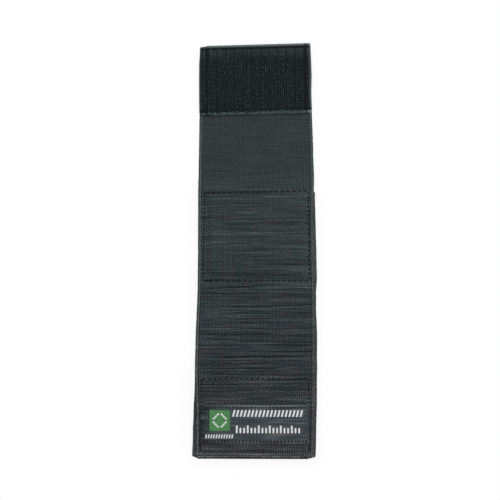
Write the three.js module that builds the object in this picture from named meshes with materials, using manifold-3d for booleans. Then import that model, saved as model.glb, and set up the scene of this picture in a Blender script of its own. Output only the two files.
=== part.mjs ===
// Magnetic wristband, laid out flat with its outer face up, in millimetres.
//
// The band is one strip of woven elastic. It is folded under at the label end and runs back
// beneath itself to just past the magnet pocket, so it is double from the label end to the
// pocket and single from there to the hook end. Twelve disc magnets sit in a felt carrier
// between the two layers. A loop patch is sewn under the label end and a hook patch on top
// of the other end, so the band closes round a wrist.
//
// Cloth bends everywhere. Here it bends on five lines across the band on each side of the
// pocket, so each layer between them is cut into sections with a narrow gap at each line.
//
// X runs across the band, Y along it from the label end to the hook end, and Z up.

import * as THREE from 'three';
import { mergeVertices } from 'three/addons/utils/BufferGeometryUtils.js';
import Module from 'manifold-3d';

const wasm = await Module();
wasm.setup();

// Elastic strip
const bandWidth = 76;
const elasticThickness = 1.4;
const selvedgeRadius = 0.5;
const backLayerShift = 1.2; // the returning layer lies this far to the right
const layerGap = 0.3; // between things that lie on each other

// Lengths along the band, from the folded end
const bandLength = 278.8; // to the hook end's furthest corner
const labelEndLength = 50.3;
const doubleSectionLength = 14.3;
const pocketPanelLength = 65.5;
const hookEndLength = 54.4; // the single sections take up what is left of the band
const sectionsPerSide = 4;
const hingeGap = 0.5; // between two sections, centred on their bend line
const backLayerStop = 0.6; // the returning layer's cut end, short of the pocket panel's end

// Folded end
const foldCornerLeft = 1.8; // the fold is drawn in by this much at the band's left edge
const foldCornerRight = 3.6; // and by this much at its right edge

// Skew of the sewn work across the band's width
const hookEndSkew = 2.8; // the hook end is cut this much longer on the right
const pocketTopSkew = 1.9; // the pocket's far row climbs this much to the right

// Sewing thread
const threadRadius = 0.22;
const stitchPitch = 3.3;
const stitchCrest = 0.23; // how far a stitch arches between two needle holes
const seamClearance = 0.25; // between a thread and the furrow that it lies in
const furrowDepth = 0.5;
const bobbinCover = 0.1; // how deep the under thread lies below the cloth's face
const threadEndGap = 1; // between the two ends of a seam that runs round

// Magnet pocket
const pocketSeamNearInset = 5.1; // from the panel's label side to the near row
const pocketSeamFarInset = 1.7; // from the panel's other side to the far row
const pocketSeamSideInset = 3.7; // from the band's edge
const pocketSwellInset = 1.2; // from the seam to where the panel starts to rise
const pocketSlope = 4; // length over which the panel rises on to the magnets
const magnetColumns = 4;
const magnetRows = 3;
const magnetThickness = 2;
const magnetChamfer = 0.3;
const magnetSpacing = 2.2; // least distance between two magnets
const magnetClearance = 0.3; // round a magnet in its window
const carrierThickness = 1.8;

// Loop patch, under the label end
const loopPatchThickness = 1.8;
const loopPatchSideInset = 1.3; // from the band's edge
const loopPatchStart = 3;
const loopPatchStop = 0.3; // short of the label end's bend line
const loopSeamSideInset = 2.9; // from the band's edge
const loopSeamNearInset = 1.6; // from the patch's edges
const loopSeamFarInset = 1;

// Woven label, on top of the label end
const labelThickness = 0.8;
const labelSideInset = 3.9; // from the band's edge
const labelStart = 9.4;
const labelLength = 23.5;
const labelSeamInset = 1.2;
const labelSeamEndInset = 1.1;
const emblemSize = 13.3;
const emblemRelief = 0.15;
const emblemLeft = 5.6; // from the label's left edge to the square
const emblemTop = 2.1; // from the label's far edge to the square

// Hook patch, on top of the hook end
const hookPatchSideInset = 0.3; // from the band's edge
const hookPatchLength = 50.1;
const hookBaseThickness = 0.9;
const hookHeight = 1.2;
const hookPatchCorner = 2.4; // chamfer of the near left corner
const hookSeamSideInset = 3.9;
const hookSeamNearInset = 1.9;
const hookSeamFarInset = 2.6;
const hookRibCount = 11;
const hookRibGap = 0.6;
const hookRibEndGap = 0.4; // from the seam's furrow to the hooks
const hookSideMargin = 0.5; // from the patch's edge to the outermost hooks

// Fineness of round shapes
const selvedgeSegments = 3;
const foldSegments = 8;
const pillowSegments = 6;
const discSides = 24;
const threadSides = 4;

// Stations along the band
const labelHinge = labelEndLength;
const pocketStart = labelHinge + sectionsPerSide * doubleSectionLength;
const pocketEnd = pocketStart + pocketPanelLength;
const hookHinge = bandLength - hookEndLength;
const singleSectionLength = (hookHinge - pocketEnd) / sectionsPerSide;

// Extents of what is sewn on
const pocketSeamWidth = bandWidth - 2 * pocketSeamSideInset;
const loopPatchWidth = bandWidth - 2 * loopPatchSideInset;
const loopPatchLength = labelEndLength - loopPatchStart - loopPatchStop;
const loopSeamWidth = bandWidth - 2 * loopSeamSideInset;
const labelWidth = bandWidth - 2 * labelSideInset;
const hookPatchWidth = bandWidth - 2 * hookPatchSideInset;

// Heights of the layers
const frontRise = elasticThickness + layerGap; // from the under face of one layer to the next
const labelEndRise = loopPatchThickness + layerGap; // under face of the back layer on the patch
const overrun = bandWidth; // how far a cutting shape runs past what it cuts

// Finishes
const elasticFinish = { color: '#343b3a', roughness: 0.92, metalness: 0 };
const threadFinish = { color: '#15181a', roughness: 0.7, metalness: 0 };
const hookFinish = { color: '#20272a', roughness: 0.6, metalness: 0 };
const loopFinish = { color: '#1c2021', roughness: 1, metalness: 0 };
const labelFinish = { color: '#2f3336', roughness: 0.8, metalness: 0 };
const feltFinish = { color: '#55585a', roughness: 1, metalness: 0 };
const nickelFinish = { color: '#c4c6c8', roughness: 0.25, metalness: 1 };

const band = new THREE.Group();
band.name = 'magnetic_wristband';
band.position.set(-backLayerShift / 2, -bandLength / 2, 0);

// Adds one named piece to the band.
function addPiece(name, geometry, finish) {
  const mesh = new THREE.Mesh(geometry, new THREE.MeshStandardMaterial(finish));
  mesh.name = name;
  band.add(mesh);
}

// A geometry with its shared vertices merged, as a solid that can be joined and cut.
function solidOf(geometry) {
  const bare = geometry.clone();
  bare.deleteAttribute('normal');
  bare.deleteAttribute('uv');
  const merged = mergeVertices(bare);
  return new wasm.Manifold(new wasm.Mesh({
    numProp: 3,
    vertProperties: new Float32Array(merged.attributes.position.array),
    triVerts: new Uint32Array(merged.index.array),
  }));
}

// A cut or joined solid, as a geometry again.
function geometryOf(solid) {
  const mesh = solid.getMesh();
  const geometry = new THREE.BufferGeometry();
  geometry.setAttribute('position', new THREE.BufferAttribute(mesh.vertProperties, 3));
  geometry.setIndex(new THREE.BufferAttribute(mesh.triVerts, 1));
  geometry.computeVertexNormals();
  return geometry;
}

// The geometries joined into one.
function join(...geometries) {
  return geometryOf(geometries.map(solidOf).reduce((a, b) => a.add(b)));
}

// The first geometry less the others.
function cut(geometry, ...cutters) {
  return geometryOf(cutters.map(solidOf).reduce((a, b) => a.subtract(b), solidOf(geometry)));
}

// A box between two corners.
function box(x0, y0, z0, x1, y1, z1) {
  const geometry = new THREE.BoxGeometry(x1 - x0, y1 - y0, z1 - z0);
  return geometry.translate((x0 + x1) / 2, (y0 + y1) / 2, (z0 + z1) / 2);
}

// A plan outline raised from one height to another.
function prism(outline, z0, z1, holes = []) {
  const shape = new THREE.Shape(outline.map(([x, y]) => new THREE.Vector2(x, y)));
  for (const hole of holes) {
    shape.holes.push(new THREE.Path(hole.map(([x, y]) => new THREE.Vector2(x, y))));
  }
  const geometry = new THREE.ExtrudeGeometry(shape, { depth: z1 - z0, bevelEnabled: false });
  return geometry.translate(0, 0, z0);
}

// The geometry with its height changed in proportion to the way along the band.
function tilt(geometry, y0, slope) {
  const shear = new THREE.Matrix4();
  shear.set(1, 0, 0, 0, 0, 1, 0, 0, 0, slope, 1, -slope * y0, 0, 0, 0, 1);
  return geometry.applyMatrix4(shear);
}

// The geometry moved along the band in proportion to the way across it.
function skew(geometry, slope) {
  const shear = new THREE.Matrix4();
  shear.set(1, 0, 0, 0, slope, 1, 0, 0, 0, 0, 1, 0, 0, 0, 0, 1);
  return geometry.applyMatrix4(shear);
}

// One stretch of the elastic: full width, with round selvedges, from y0 to y1, its under
// face at height z0 at y0 and z1 at y1, and its middle line moved aside by shift.
function elasticStretch(y0, y1, z0, z1, shift) {
  const half = bandWidth / 2;
  const r = selvedgeRadius;
  const top = elasticThickness;
  const profile = new THREE.Shape();
  profile.absarc(half - r, r, r, -Math.PI / 2, 0);
  profile.absarc(half - r, top - r, r, 0, Math.PI / 2);
  profile.absarc(r - half, top - r, r, Math.PI / 2, Math.PI);
  profile.absarc(r - half, r, r, Math.PI, Math.PI * 3 / 2);
  const geometry = new THREE.ExtrudeGeometry(profile, {
    depth: y1 - y0,
    bevelEnabled: false,
    curveSegments: selvedgeSegments,
  });
  geometry.rotateX(Math.PI / 2);
  geometry.translate(shift, y1, z0);
  return tilt(geometry, y0, (z1 - z0) / (y1 - y0));
}

// Corners of a sewn rectangle, from its near left corner anticlockwise. Its near and far
// rows may climb to the right.
function seamCorners(middleX, width, near, far, nearSkew, farSkew) {
  const left = middleX - width / 2;
  const right = middleX + width / 2;
  return [
    [left, near - nearSkew / 2],
    [right, near + nearSkew / 2],
    [right, far + farSkew / 2],
    [left, far - farSkew / 2],
  ];
}

// The rectangle's corners moved out by a distance, or in by a negative one.
function offsetCorners([a, b, c, d], by) {
  return [
    [a[0] - by, a[1] - by],
    [b[0] + by, b[1] - by],
    [c[0] + by, c[1] + by],
    [d[0] - by, d[1] + by],
  ];
}

// The furrow of a seam that runs round a rectangle, to be cut out of the cloth.
function furrowRound(corners, z0, z1) {
  const half = threadRadius + seamClearance;
  return prism(offsetCorners(corners, half), z0, z1, [offsetCorners(corners, -half)]);
}

// A thread's middle line through needle holes at the cloth's face, arched between them by
// crest. Its parameter counts the points evenly, so each ring of the tube is on a point.
class StitchCurve extends THREE.Curve {
  constructor(corners, height, pitch, crest) {
    super();
    this.points = [];
    for (let i = 0; i + 1 < corners.length; i += 1) {
      const from = new THREE.Vector3(...corners[i], height);
      const to = new THREE.Vector3(...corners[i + 1], height);
      const stitches = Math.max(1, Math.round(from.distanceTo(to) / pitch));
      for (let k = 0; k < stitches; k += 1) {
        this.points.push(from.clone().lerp(to, k / stitches));
        if (crest > 0) {
          const middle = from.clone().lerp(to, (k + 1 / 2) / stitches);
          middle.z += crest;
          this.points.push(middle);
        }
      }
    }
    this.points.push(new THREE.Vector3(...corners[corners.length - 1], height));
  }

  getUtoTmapping(u) {
    return u;
  }

  getPoint(t, target = new THREE.Vector3()) {
    const last = this.points.length - 1;
    const place = Math.min(Math.max(t, 0), 1) * last;
    const i = Math.min(Math.floor(place), last - 1);
    return target.lerpVectors(this.points[i], this.points[i + 1], place - i);
  }
}

// A thread laid along a stitch curve.
function thread(curve) {
  const section = new THREE.Shape();
  section.absarc(0, 0, threadRadius, 0, Math.PI * 2);
  section.curves = [];
  for (let k = 0; k < threadSides; k += 1) {
    const [from, to] = [k, k + 1].map((n) => {
      const angle = (n % threadSides) * Math.PI * 2 / threadSides;
      return new THREE.Vector2(Math.cos(angle), Math.sin(angle)).multiplyScalar(threadRadius);
    });
    section.curves.push(new THREE.LineCurve(from, to));
  }
  return new THREE.ExtrudeGeometry(section, {
    extrudePath: curve,
    steps: curve.points.length - 1,
    curveSegments: 1,
  });
}

// Corners of a seam's thread once round, stopping short of where it starts.
function onceRound([a, b, c, d]) {
  return [[a[0] + threadEndGap, a[1]], b, c, d, a];
}

// Height of a needle hole's middle line on a face, and of an under thread below a face.
const needleHoleHeight = threadRadius + seamClearance - furrowDepth;
const bobbinHeight = bobbinCover + threadRadius;
const bobbinFurrowDepth = bobbinHeight + threadRadius + seamClearance;

// The upper thread of a seam round a rectangle, on a face at height z.
function needleThreadRound(corners, z) {
  const height = z + needleHoleHeight;
  return thread(new StitchCurve(onceRound(corners), height, stitchPitch, stitchCrest));
}

// The under thread of a seam round a rectangle, sunk in the band's underside.
function bobbinThreadRound(corners) {
  return thread(new StitchCurve(onceRound(corners), bobbinHeight, Infinity, 0));
}

// The under thread's furrow in the band's underside.
function bobbinFurrowRound(corners) {
  return furrowRound(corners, -overrun, bobbinFurrowDepth);
}

// A pillow over a rectangle: its four sides rise in a soft S from the foot to a flat top,
// and draw in by slope on the way.
function pillow(x0, y0, z0, x1, y1, z1, slope) {
  const geometry = new THREE.BoxGeometry(x1 - x0, y1 - y0, z1 - z0, 1, 1, pillowSegments);
  const place = geometry.attributes.position;
  for (let i = 0; i < place.count; i += 1) {
    const climbed = place.getZ(i) / (z1 - z0) + 1 / 2;
    const inset = slope * Math.acos(Math.min(Math.max(1 - 2 * climbed, -1), 1)) / Math.PI;
    place.setX(i, place.getX(i) - Math.sign(place.getX(i)) * inset);
    place.setY(i, place.getY(i) - Math.sign(place.getY(i)) * inset);
  }
  return geometry.translate((x0 + x1) / 2, (y0 + y1) / 2, (z0 + z1) / 2);
}

// A disc magnet with its two edges chamfered, standing on height z.
function magnetDisc(x, y, z, r) {
  const chamfer = magnetChamfer;
  const profile = [
    [0, 0],
    [r - chamfer, 0],
    [r, chamfer],
    [r, magnetThickness - chamfer],
    [r - chamfer, magnetThickness],
    [0, magnetThickness],
  ].map(([radius, height]) => new THREE.Vector2(radius, height));
  const disc = new THREE.LatheGeometry(profile, discSides);
  disc.rotateX(Math.PI / 2);
  return disc.translate(x, y, z);
}

// Magnet pocket: front and back panel, carrier, magnets and the seam round them
function buildPocket() {
  const near = pocketStart + pocketSeamNearInset;
  const far = pocketEnd - pocketSeamFarInset;
  const corners = seamCorners(0, pocketSeamWidth, near, far, 0, pocketTopSkew);
  const panelStart = pocketStart + hingeGap / 2;
  const panelEnd = pocketEnd - hingeGap / 2;

  const cavityInset = elasticThickness / 2;
  const swellX = pocketSeamWidth / 2 - pocketSwellInset;
  const swellNear = near + pocketSwellInset;
  const swellFar = far - pocketSwellInset - pocketTopSkew / 2;
  const ceiling = frontRise + magnetThickness + layerGap;
  const panelTop = frontRise + elasticThickness;
  const outerSwell = pillow(-swellX, swellNear, panelTop - layerGap,
    swellX, swellFar, ceiling + elasticThickness, pocketSlope);
  const cavity = pillow(cavityInset - swellX, swellNear + cavityInset,
    frontRise - layerGap, swellX - cavityInset, swellFar - cavityInset, ceiling,
    pocketSlope);
  const front = cut(
    join(elasticStretch(panelStart, panelEnd, frontRise, frontRise, 0), outerSwell),
    cavity,
    furrowRound(corners, panelTop - furrowDepth, overrun),
  );
  addPiece('pocket_front_panel', front, elasticFinish);

  const back = cut(
    elasticStretch(panelStart, pocketEnd - backLayerStop, 0, 0, backLayerShift),
    bobbinFurrowRound(corners),
  );
  addPiece('pocket_back_panel', back, elasticFinish);

  const carrierX = swellX - pocketSlope - cavityInset;
  const carrierNear = swellNear + pocketSlope + cavityInset;
  const carrierFar = swellFar - pocketSlope - cavityInset;
  const columnPitch = 2 * carrierX / magnetColumns;
  const rowPitch = (carrierFar - carrierNear) / magnetRows;
  const magnetRadius = (Math.min(columnPitch, rowPitch) - magnetSpacing) / 2;
  const windows = [];
  for (let row = 0; row < magnetRows; row += 1) {
    for (let column = 0; column < magnetColumns; column += 1) {
      const x = -carrierX + (column + 1 / 2) * columnPitch;
      const y = carrierNear + (row + 1 / 2) * rowPitch;
      const number = row * magnetColumns + column + 1;
      addPiece(`magnet_${number}`, magnetDisc(x, y, frontRise, magnetRadius), nickelFinish);
      const windowRadius = magnetRadius + magnetClearance;
      const window = new THREE.CylinderGeometry(windowRadius, windowRadius, overrun, discSides);
      window.rotateX(Math.PI / 2);
      windows.push(window.translate(x, y, 0));
    }
  }
  const sheet = box(-carrierX, carrierNear, frontRise,
    carrierX, carrierFar, frontRise + carrierThickness);
  addPiece('magnet_carrier', cut(sheet, ...windows), feltFinish);

  addPiece('pocket_seam_thread', needleThreadRound(corners, panelTop), threadFinish);
  addPiece('pocket_under_thread', bobbinThreadRound(corners), threadFinish);
}

// Double stretch between the pocket and the label end, in sections counted from the pocket
function buildDoubleStretch() {
  for (let k = 0; k < sectionsPerSide; k += 1) {
    const y1 = pocketStart - k * doubleSectionLength - hingeGap / 2;
    const y0 = y1 - doubleSectionLength + hingeGap;
    const rise = k === sectionsPerSide - 1 ? labelEndRise : 0;
    const back = elasticStretch(y0, y1, rise, 0, backLayerShift);
    addPiece(`back_layer_${k + 1}`, back, elasticFinish);
    const front = elasticStretch(y0, y1, rise + frontRise, frontRise, 0);
    addPiece(`front_layer_${k + 1}`, front, elasticFinish);
  }
}

// Single stretch between the pocket and the hook end, in sections counted from the pocket
function buildSingleStretch() {
  for (let k = 0; k < sectionsPerSide; k += 1) {
    const y0 = pocketEnd + k * singleSectionLength + hingeGap / 2;
    const y1 = y0 + singleSectionLength - hingeGap;
    const rise = k === 0 ? frontRise : 0;
    addPiece(`single_layer_${k + 1}`, elasticStretch(y0, y1, rise, 0, 0), elasticFinish);
  }
}

// Label end: the folded elastic, the loop patch under it, the label on it and their seams
function buildLabelEnd() {
  const end = labelHinge - hingeGap / 2;
  const frontUnder = labelEndRise + frontRise;
  const frontTop = frontUnder + elasticThickness;
  const foldRadius = (frontTop - labelEndRise) / 2;
  const seamNear = loopPatchStart + loopSeamNearInset;
  const seamFar = loopPatchStart + loopPatchLength - loopSeamFarInset;
  const corners = seamCorners(0, loopSeamWidth, seamNear, seamFar, 0, 0);

  const fold = new THREE.Shape();
  fold.moveTo(foldRadius * 2, -foldRadius);
  fold.lineTo(0, -foldRadius);
  fold.absarc(0, 0, foldRadius, -Math.PI / 2, Math.PI / 2, true);
  fold.lineTo(foldRadius * 2, foldRadius);
  fold.lineTo(foldRadius * 2, layerGap / 2);
  fold.lineTo(0, layerGap / 2);
  fold.absarc(0, 0, layerGap / 2, Math.PI / 2, -Math.PI / 2, false);
  fold.lineTo(foldRadius * 2, -layerGap / 2);
  const foldWidth = bandWidth - foldCornerLeft - foldCornerRight;
  const nose = new THREE.ExtrudeGeometry(fold, {
    depth: foldWidth,
    bevelEnabled: false,
    curveSegments: foldSegments,
  });
  // the outline's axes become the band's length and height, and its depth the width
  const across = new THREE.Matrix4();
  across.set(0, 0, 1, foldCornerLeft - bandWidth / 2, 1, 0, 0, foldRadius,
    0, 1, 0, labelEndRise + foldRadius, 0, 0, 0, 1);
  nose.applyMatrix4(across);
  const folded = join(
    elasticStretch(foldRadius, end, frontUnder, frontUnder, 0),
    elasticStretch(foldRadius, end, labelEndRise, labelEndRise, backLayerShift),
    nose,
  );
  addPiece('folded_label_end', cut(folded, furrowRound(corners, frontTop - furrowDepth, overrun)),
    elasticFinish);

  const patch = box(-loopPatchWidth / 2, loopPatchStart, 0,
    loopPatchWidth / 2, loopPatchStart + loopPatchLength, loopPatchThickness);
  addPiece('loop_patch', cut(patch, bobbinFurrowRound(corners)), loopFinish);
  addPiece('loop_patch_seam_thread', needleThreadRound(corners, frontTop), threadFinish);
  addPiece('loop_patch_under_thread', bobbinThreadRound(corners), threadFinish);

  const labelUnder = frontTop + layerGap;
  const labelTop = labelUnder + labelThickness;
  const labelFar = labelStart + labelLength;
  const emblemX = emblemLeft - labelWidth / 2;
  const emblemFar = labelFar - emblemTop;
  const seamEnd = labelWidth / 2 - labelSeamEndInset;
  const furrowHalf = threadRadius + seamClearance;
  let label = join(
    box(-labelWidth / 2, labelStart, labelUnder, labelWidth / 2, labelFar, labelTop),
    box(emblemX, emblemFar - emblemSize, labelUnder + layerGap,
      emblemX + emblemSize, emblemFar, labelTop + emblemRelief),
  );
  const rows = { near: labelStart + labelSeamInset, far: labelFar - labelSeamInset };
  for (const [name, y] of Object.entries(rows)) {
    const furrow = box(-seamEnd - furrowHalf, y - furrowHalf, labelTop - furrowDepth,
      seamEnd + furrowHalf, y + furrowHalf, overrun);
    label = cut(label, furrow);
    const row = new StitchCurve([[-seamEnd, y], [seamEnd, y]], labelTop + needleHoleHeight,
      stitchPitch, stitchCrest);
    addPiece(`label_${name}_row_thread`, thread(row), threadFinish);
  }
  addPiece('woven_label', label, labelFinish);
}

// Hook end: the elastic's skewed end, the hook patch on it and its seam
function buildHookEnd() {
  const start = hookHinge + hingeGap / 2;
  const skewSlope = hookEndSkew / bandWidth;
  const half = hookPatchWidth / 2;
  // places along the patch are given on the band's middle line, before the skew
  const far = bandLength - hookEndSkew / 2;
  const near = far - hookPatchLength;
  const seamWidth = hookPatchWidth - 2 * hookSeamSideInset;
  const straightCorners = seamCorners(0, seamWidth, near + hookSeamNearInset,
    far - hookSeamFarInset, 0, 0);
  const corners = straightCorners.map(([x, y]) => [x, y + skewSlope * x]);

  const strip = elasticStretch(start, far, 0, 0, 0);
  const place = strip.attributes.position;
  for (let i = 0; i < place.count; i += 1) {
    if (place.getY(i) > (start + far) / 2) {
      place.setY(i, place.getY(i) + skewSlope * place.getX(i));
    }
  }
  addPiece('elastic_hook_end', cut(strip, bobbinFurrowRound(corners)), elasticFinish);

  const baseUnder = frontRise;
  const baseTop = baseUnder + hookBaseThickness;
  const outline = [
    [hookPatchCorner - half, near],
    [half, near],
    [half, far],
    [-half, far],
    [-half, near + hookPatchCorner],
  ];
  const furrowHalf = threadRadius + seamClearance;
  const fieldX = seamWidth / 2 - furrowHalf - hookRibEndGap;
  const fieldNear = near + hookSeamNearInset + furrowHalf + hookRibEndGap;
  const fieldFar = far - hookSeamFarInset - furrowHalf - hookRibEndGap;
  const ribPitch = (2 * fieldX + hookRibGap) / hookRibCount;
  const ribFoot = baseTop - layerGap;
  const ribs = [];
  for (let k = 0; k < hookRibCount; k += 1) {
    const x0 = -fieldX + k * ribPitch;
    ribs.push(box(x0, fieldNear, ribFoot,
      x0 + ribPitch - hookRibGap, fieldFar, baseTop + hookHeight));
  }
  const sideIn = seamWidth / 2 + furrowHalf + hookRibEndGap;
  const sideOut = half - hookSideMargin;
  ribs.push(box(-sideOut, fieldNear + hookPatchCorner, ribFoot,
    -sideIn, fieldFar, baseTop + hookHeight));
  ribs.push(box(sideIn, fieldNear, ribFoot, sideOut, fieldFar, baseTop + hookHeight));
  const straight = cut(join(prism(outline, baseUnder, baseTop), ...ribs),
    furrowRound(straightCorners, baseTop - furrowDepth, baseTop));
  addPiece('hook_patch', skew(straight, skewSlope), hookFinish);

  addPiece('hook_patch_seam_thread', needleThreadRound(corners, baseTop), threadFinish);
  addPiece('hook_patch_under_thread', bobbinThreadRound(corners), threadFinish);
}

buildPocket();
buildDoubleStretch();
buildSingleStretch();
buildLabelEnd();
buildHookEnd();

export default band;
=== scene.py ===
"""Magnetic wristband: the visual model, in metres, in the frame of its CAD nodes.

The band is one strip of woven elastic, folded under at the label end. Its cloth is built here
as one long course that runs from the returning layer's cut end, round the fold and on to the
hook end, cut into panels where the band bends. The sizes in the classes are in millimetres.
Across the band they count from its middle line, and along it from the folded end. A place
along it is called a station.
"""

import logging
import math
import random
from collections.abc import Callable, Iterable
from dataclasses import dataclass, field
from enum import Enum
from functools import cached_property

import bmesh
import bpy
from bmesh.types import BMEdge, BMVert, BMesh
from bpy.types import ID, Material, Mesh, Node, NodeSocket, NodeTree, Object, World
from mathutils import Matrix, Vector, noise


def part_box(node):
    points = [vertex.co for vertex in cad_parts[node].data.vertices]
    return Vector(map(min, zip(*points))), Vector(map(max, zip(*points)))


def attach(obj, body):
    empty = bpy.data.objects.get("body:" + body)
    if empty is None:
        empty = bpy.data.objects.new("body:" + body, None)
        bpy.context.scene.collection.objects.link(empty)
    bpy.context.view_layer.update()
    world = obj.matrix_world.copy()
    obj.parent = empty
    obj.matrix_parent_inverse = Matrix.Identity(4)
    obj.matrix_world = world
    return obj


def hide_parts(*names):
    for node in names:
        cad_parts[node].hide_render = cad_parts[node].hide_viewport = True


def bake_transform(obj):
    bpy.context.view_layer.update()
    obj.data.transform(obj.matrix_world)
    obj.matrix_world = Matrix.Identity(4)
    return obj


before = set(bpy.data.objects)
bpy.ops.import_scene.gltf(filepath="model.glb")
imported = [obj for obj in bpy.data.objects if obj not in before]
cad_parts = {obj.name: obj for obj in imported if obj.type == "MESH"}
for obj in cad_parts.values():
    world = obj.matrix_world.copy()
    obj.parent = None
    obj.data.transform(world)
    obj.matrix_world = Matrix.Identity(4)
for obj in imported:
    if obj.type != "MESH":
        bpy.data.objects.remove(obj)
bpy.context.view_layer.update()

MM = 0.001
WAVE_PERIOD = 2 * math.pi / 20  # of a wave texture at scale 1
MIDDLE_X = -0.6  # the front layer's middle line in the CAD frame
HALF_LENGTH = 139.4  # from the folded end to the CAD frame's origin

log = logging.getLogger("magnetic_wristband")


def linear(colour: str) -> tuple[float, ...]:
    """Turns an sRGB colour, six hex digits after a hash sign, to linear light and alpha 1."""
    parts = [int(colour[k:k + 2], 16) / 255 for k in (1, 3, 5)]
    return (*[p / 12.92 if p <= 0.04045 else ((p + 0.055) / 1.055) ** 2.4 for p in parts], 1.0)


def to_frame(x: float, station: float, z: float) -> Vector:
    """Turns a place on the band, in millimetres, to the CAD frame, in metres."""
    return Vector((x + MIDDLE_X, station - HALF_LENGTH, z)) * MM


def ease(t: float) -> float:
    """Runs smoothly from 0 to 1 as t does."""
    t = min(max(t, 0.0), 1.0)
    return t * t * (3 - 2 * t)


def bump(distance: float, width: float) -> float:
    """A bell of height 1 round distance 0."""
    return math.exp(-((distance / width) ** 2))


def grain(x: float, y: float, z: float) -> float:
    """A smooth random value from -1 to 1, with one wave in about two units."""
    return noise.noise(Vector((x, y, z)))


def along_table(table: tuple[tuple[float, float], ...], at: float) -> float:
    """Reads a table, in straight lines between its rows.

    Args:
        table: pairs of place and value, in rising order of place.
        at: the place to read.

    Returns:
        The value there, constant past the table's ends.
    """
    if at <= table[0][0]:
        return table[0][1]
    for (a, low), (b, high) in zip(table, table[1:]):
        if at <= b:
            return low + (high - low) * (at - a) / (b - a)
    return table[-1][1]


def evenly(start: float, end: float, step: float) -> list[float]:
    """Places from start to end, both among them, about step apart."""
    count = max(1, round(abs(end - start) / step))
    return [start + (end - start) * k / count for k in range(count + 1)]


def bordered(width: float, edge: float, border: float, fine: float, step: float) -> list[float]:
    """Columns across a cloth, closer together in its borders.

    Args:
        width: of the cloth.
        edge: place of the first column.
        border: where the left border ends.
        fine: between the borders' columns.
        step: between the others.

    Returns:
        Distances from the left edge.
    """
    close = evenly(edge, border, fine)[:-1]
    return close + evenly(border, width - border, step) + [width - c for c in reversed(close)]


def fresh_tree(owner: Material | World) -> NodeTree:
    """Empties the node tree of a material or world.

    Args:
        owner: the material or world.

    Returns:
        Its node tree.
    """
    owner.use_nodes = True
    owner.node_tree.nodes.clear()
    return owner.node_tree


def add_node(tree: NodeTree, kind: str, inputs: dict | None = None,
             stops: Iterable[tuple[float, str | float]] = (), **settings: object) -> Node:
    """Adds a node with its settings and links.

    Args:
        tree: the material's or world's node tree.
        kind: the node's type, without the words that all types start with.
        inputs: values of its sockets by name or index. A socket as value is linked, and so is
            a node's first output where the value is a node. Text is a colour.
        stops: places on a colour ramp, each with its colour or, for a grey, its brightness.
        settings: values of the node's own properties.

    Returns:
        The new node.
    """
    node = tree.nodes.new("ShaderNode" + kind)
    for name, value in settings.items():
        setattr(node, name, value)
    for name, value in (inputs or {}).items():
        if isinstance(value, Node):
            value = value.outputs[0]
        if isinstance(value, NodeSocket):
            tree.links.new(value, node.inputs[name])
        else:
            node.inputs[name].default_value = linear(value) if isinstance(value, str) else value
    for number, (place, colour) in enumerate(stops):
        colour = linear(colour) if isinstance(colour, str) else (colour, colour, colour, 1.0)
        # a new ramp has two stops, at 0 and at 1
        elements = node.color_ramp.elements
        if number == 0:
            elements.remove(elements[1])
            elements[0].position, elements[0].color = place, colour
        else:
            elements.new(place).color = colour
    return node


def add_object(name: str, data: ID) -> Object:
    """Puts a new object into the scene.

    Args:
        name: the object's name.
        data: its mesh, camera or lamp.

    Returns:
        The object.
    """
    made = bpy.data.objects.new(name, data)
    bpy.context.scene.collection.objects.link(made)
    return made


# Finishes


# what a pattern gives: values of the shader's sockets, and reliefs from the coarsest on, each
# with its height, strength, depth in millimetres and whether high values lie deep
Paint = tuple[dict, list[tuple[Node | NodeSocket, float, float, bool]]]


def with_shade(tree: NodeTree, colour: NodeSocket, groove: str, ridge: str) -> NodeSocket:
    """Mixes painted shade into a cloth's furrows and pale marks onto its ridges, by its "shade"
    attribute; the pale is painted highlight, partly rubbed and bound yarn, and dust on hooks.

    Args:
        tree: the material's node tree.
        colour: the cloth's own colour.
        groove: colour at shade -1.
        ridge: colour at shade 1.

    Returns:
        The socket with the shaded colour.
    """
    shade = add_node(tree, "Attribute", attribute_name="shade").outputs["Fac"]
    for limit, end in ((-1.0, groove), (1.0, ridge)):
        share = add_node(tree, "MapRange", {0: shade, "From Min": 0.0, "From Max": limit})
        mixed = add_node(tree, "Mix", {0: share, 6: colour, 7: end}, data_type="RGBA")
        colour = mixed.outputs[2]
    return colour


@dataclass(frozen=True)
class Finish:
    """What every finish shares: a name, a base colour and how matt it is."""

    name: str
    colour: str
    roughness: float = 0.9
    specular: float = 0.3
    sheen: float = 0.0

    def paint(self, tree: NodeTree) -> Paint:
        """Draws the finish's pattern into a node tree; a plain finish has none."""
        return {}, []

    def build(self) -> Material:
        """Makes the material.

        Returns:
            The material, with the pattern's reliefs and the shader.
        """
        material = bpy.data.materials.new(self.name)
        tree = fresh_tree(material)
        sockets, reliefs = self.paint(tree)
        for height, strength, depth, sunk in reliefs:
            over = {"Normal": sockets["Normal"]} if "Normal" in sockets else {}
            sockets["Normal"] = add_node(tree, "Bump", {
                "Strength": strength, "Distance": depth * MM, "Height": height, **over}, invert=sunk)
        shader = add_node(tree, "BsdfPrincipled", {
            "Base Color": self.colour, "Roughness": self.roughness,
            "Specular IOR Level": self.specular, "Sheen Weight": self.sheen,
            "Sheen Roughness": 0.5, **sockets})
        add_node(tree, "OutputMaterial", {"Surface": shader})
        return material


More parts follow.
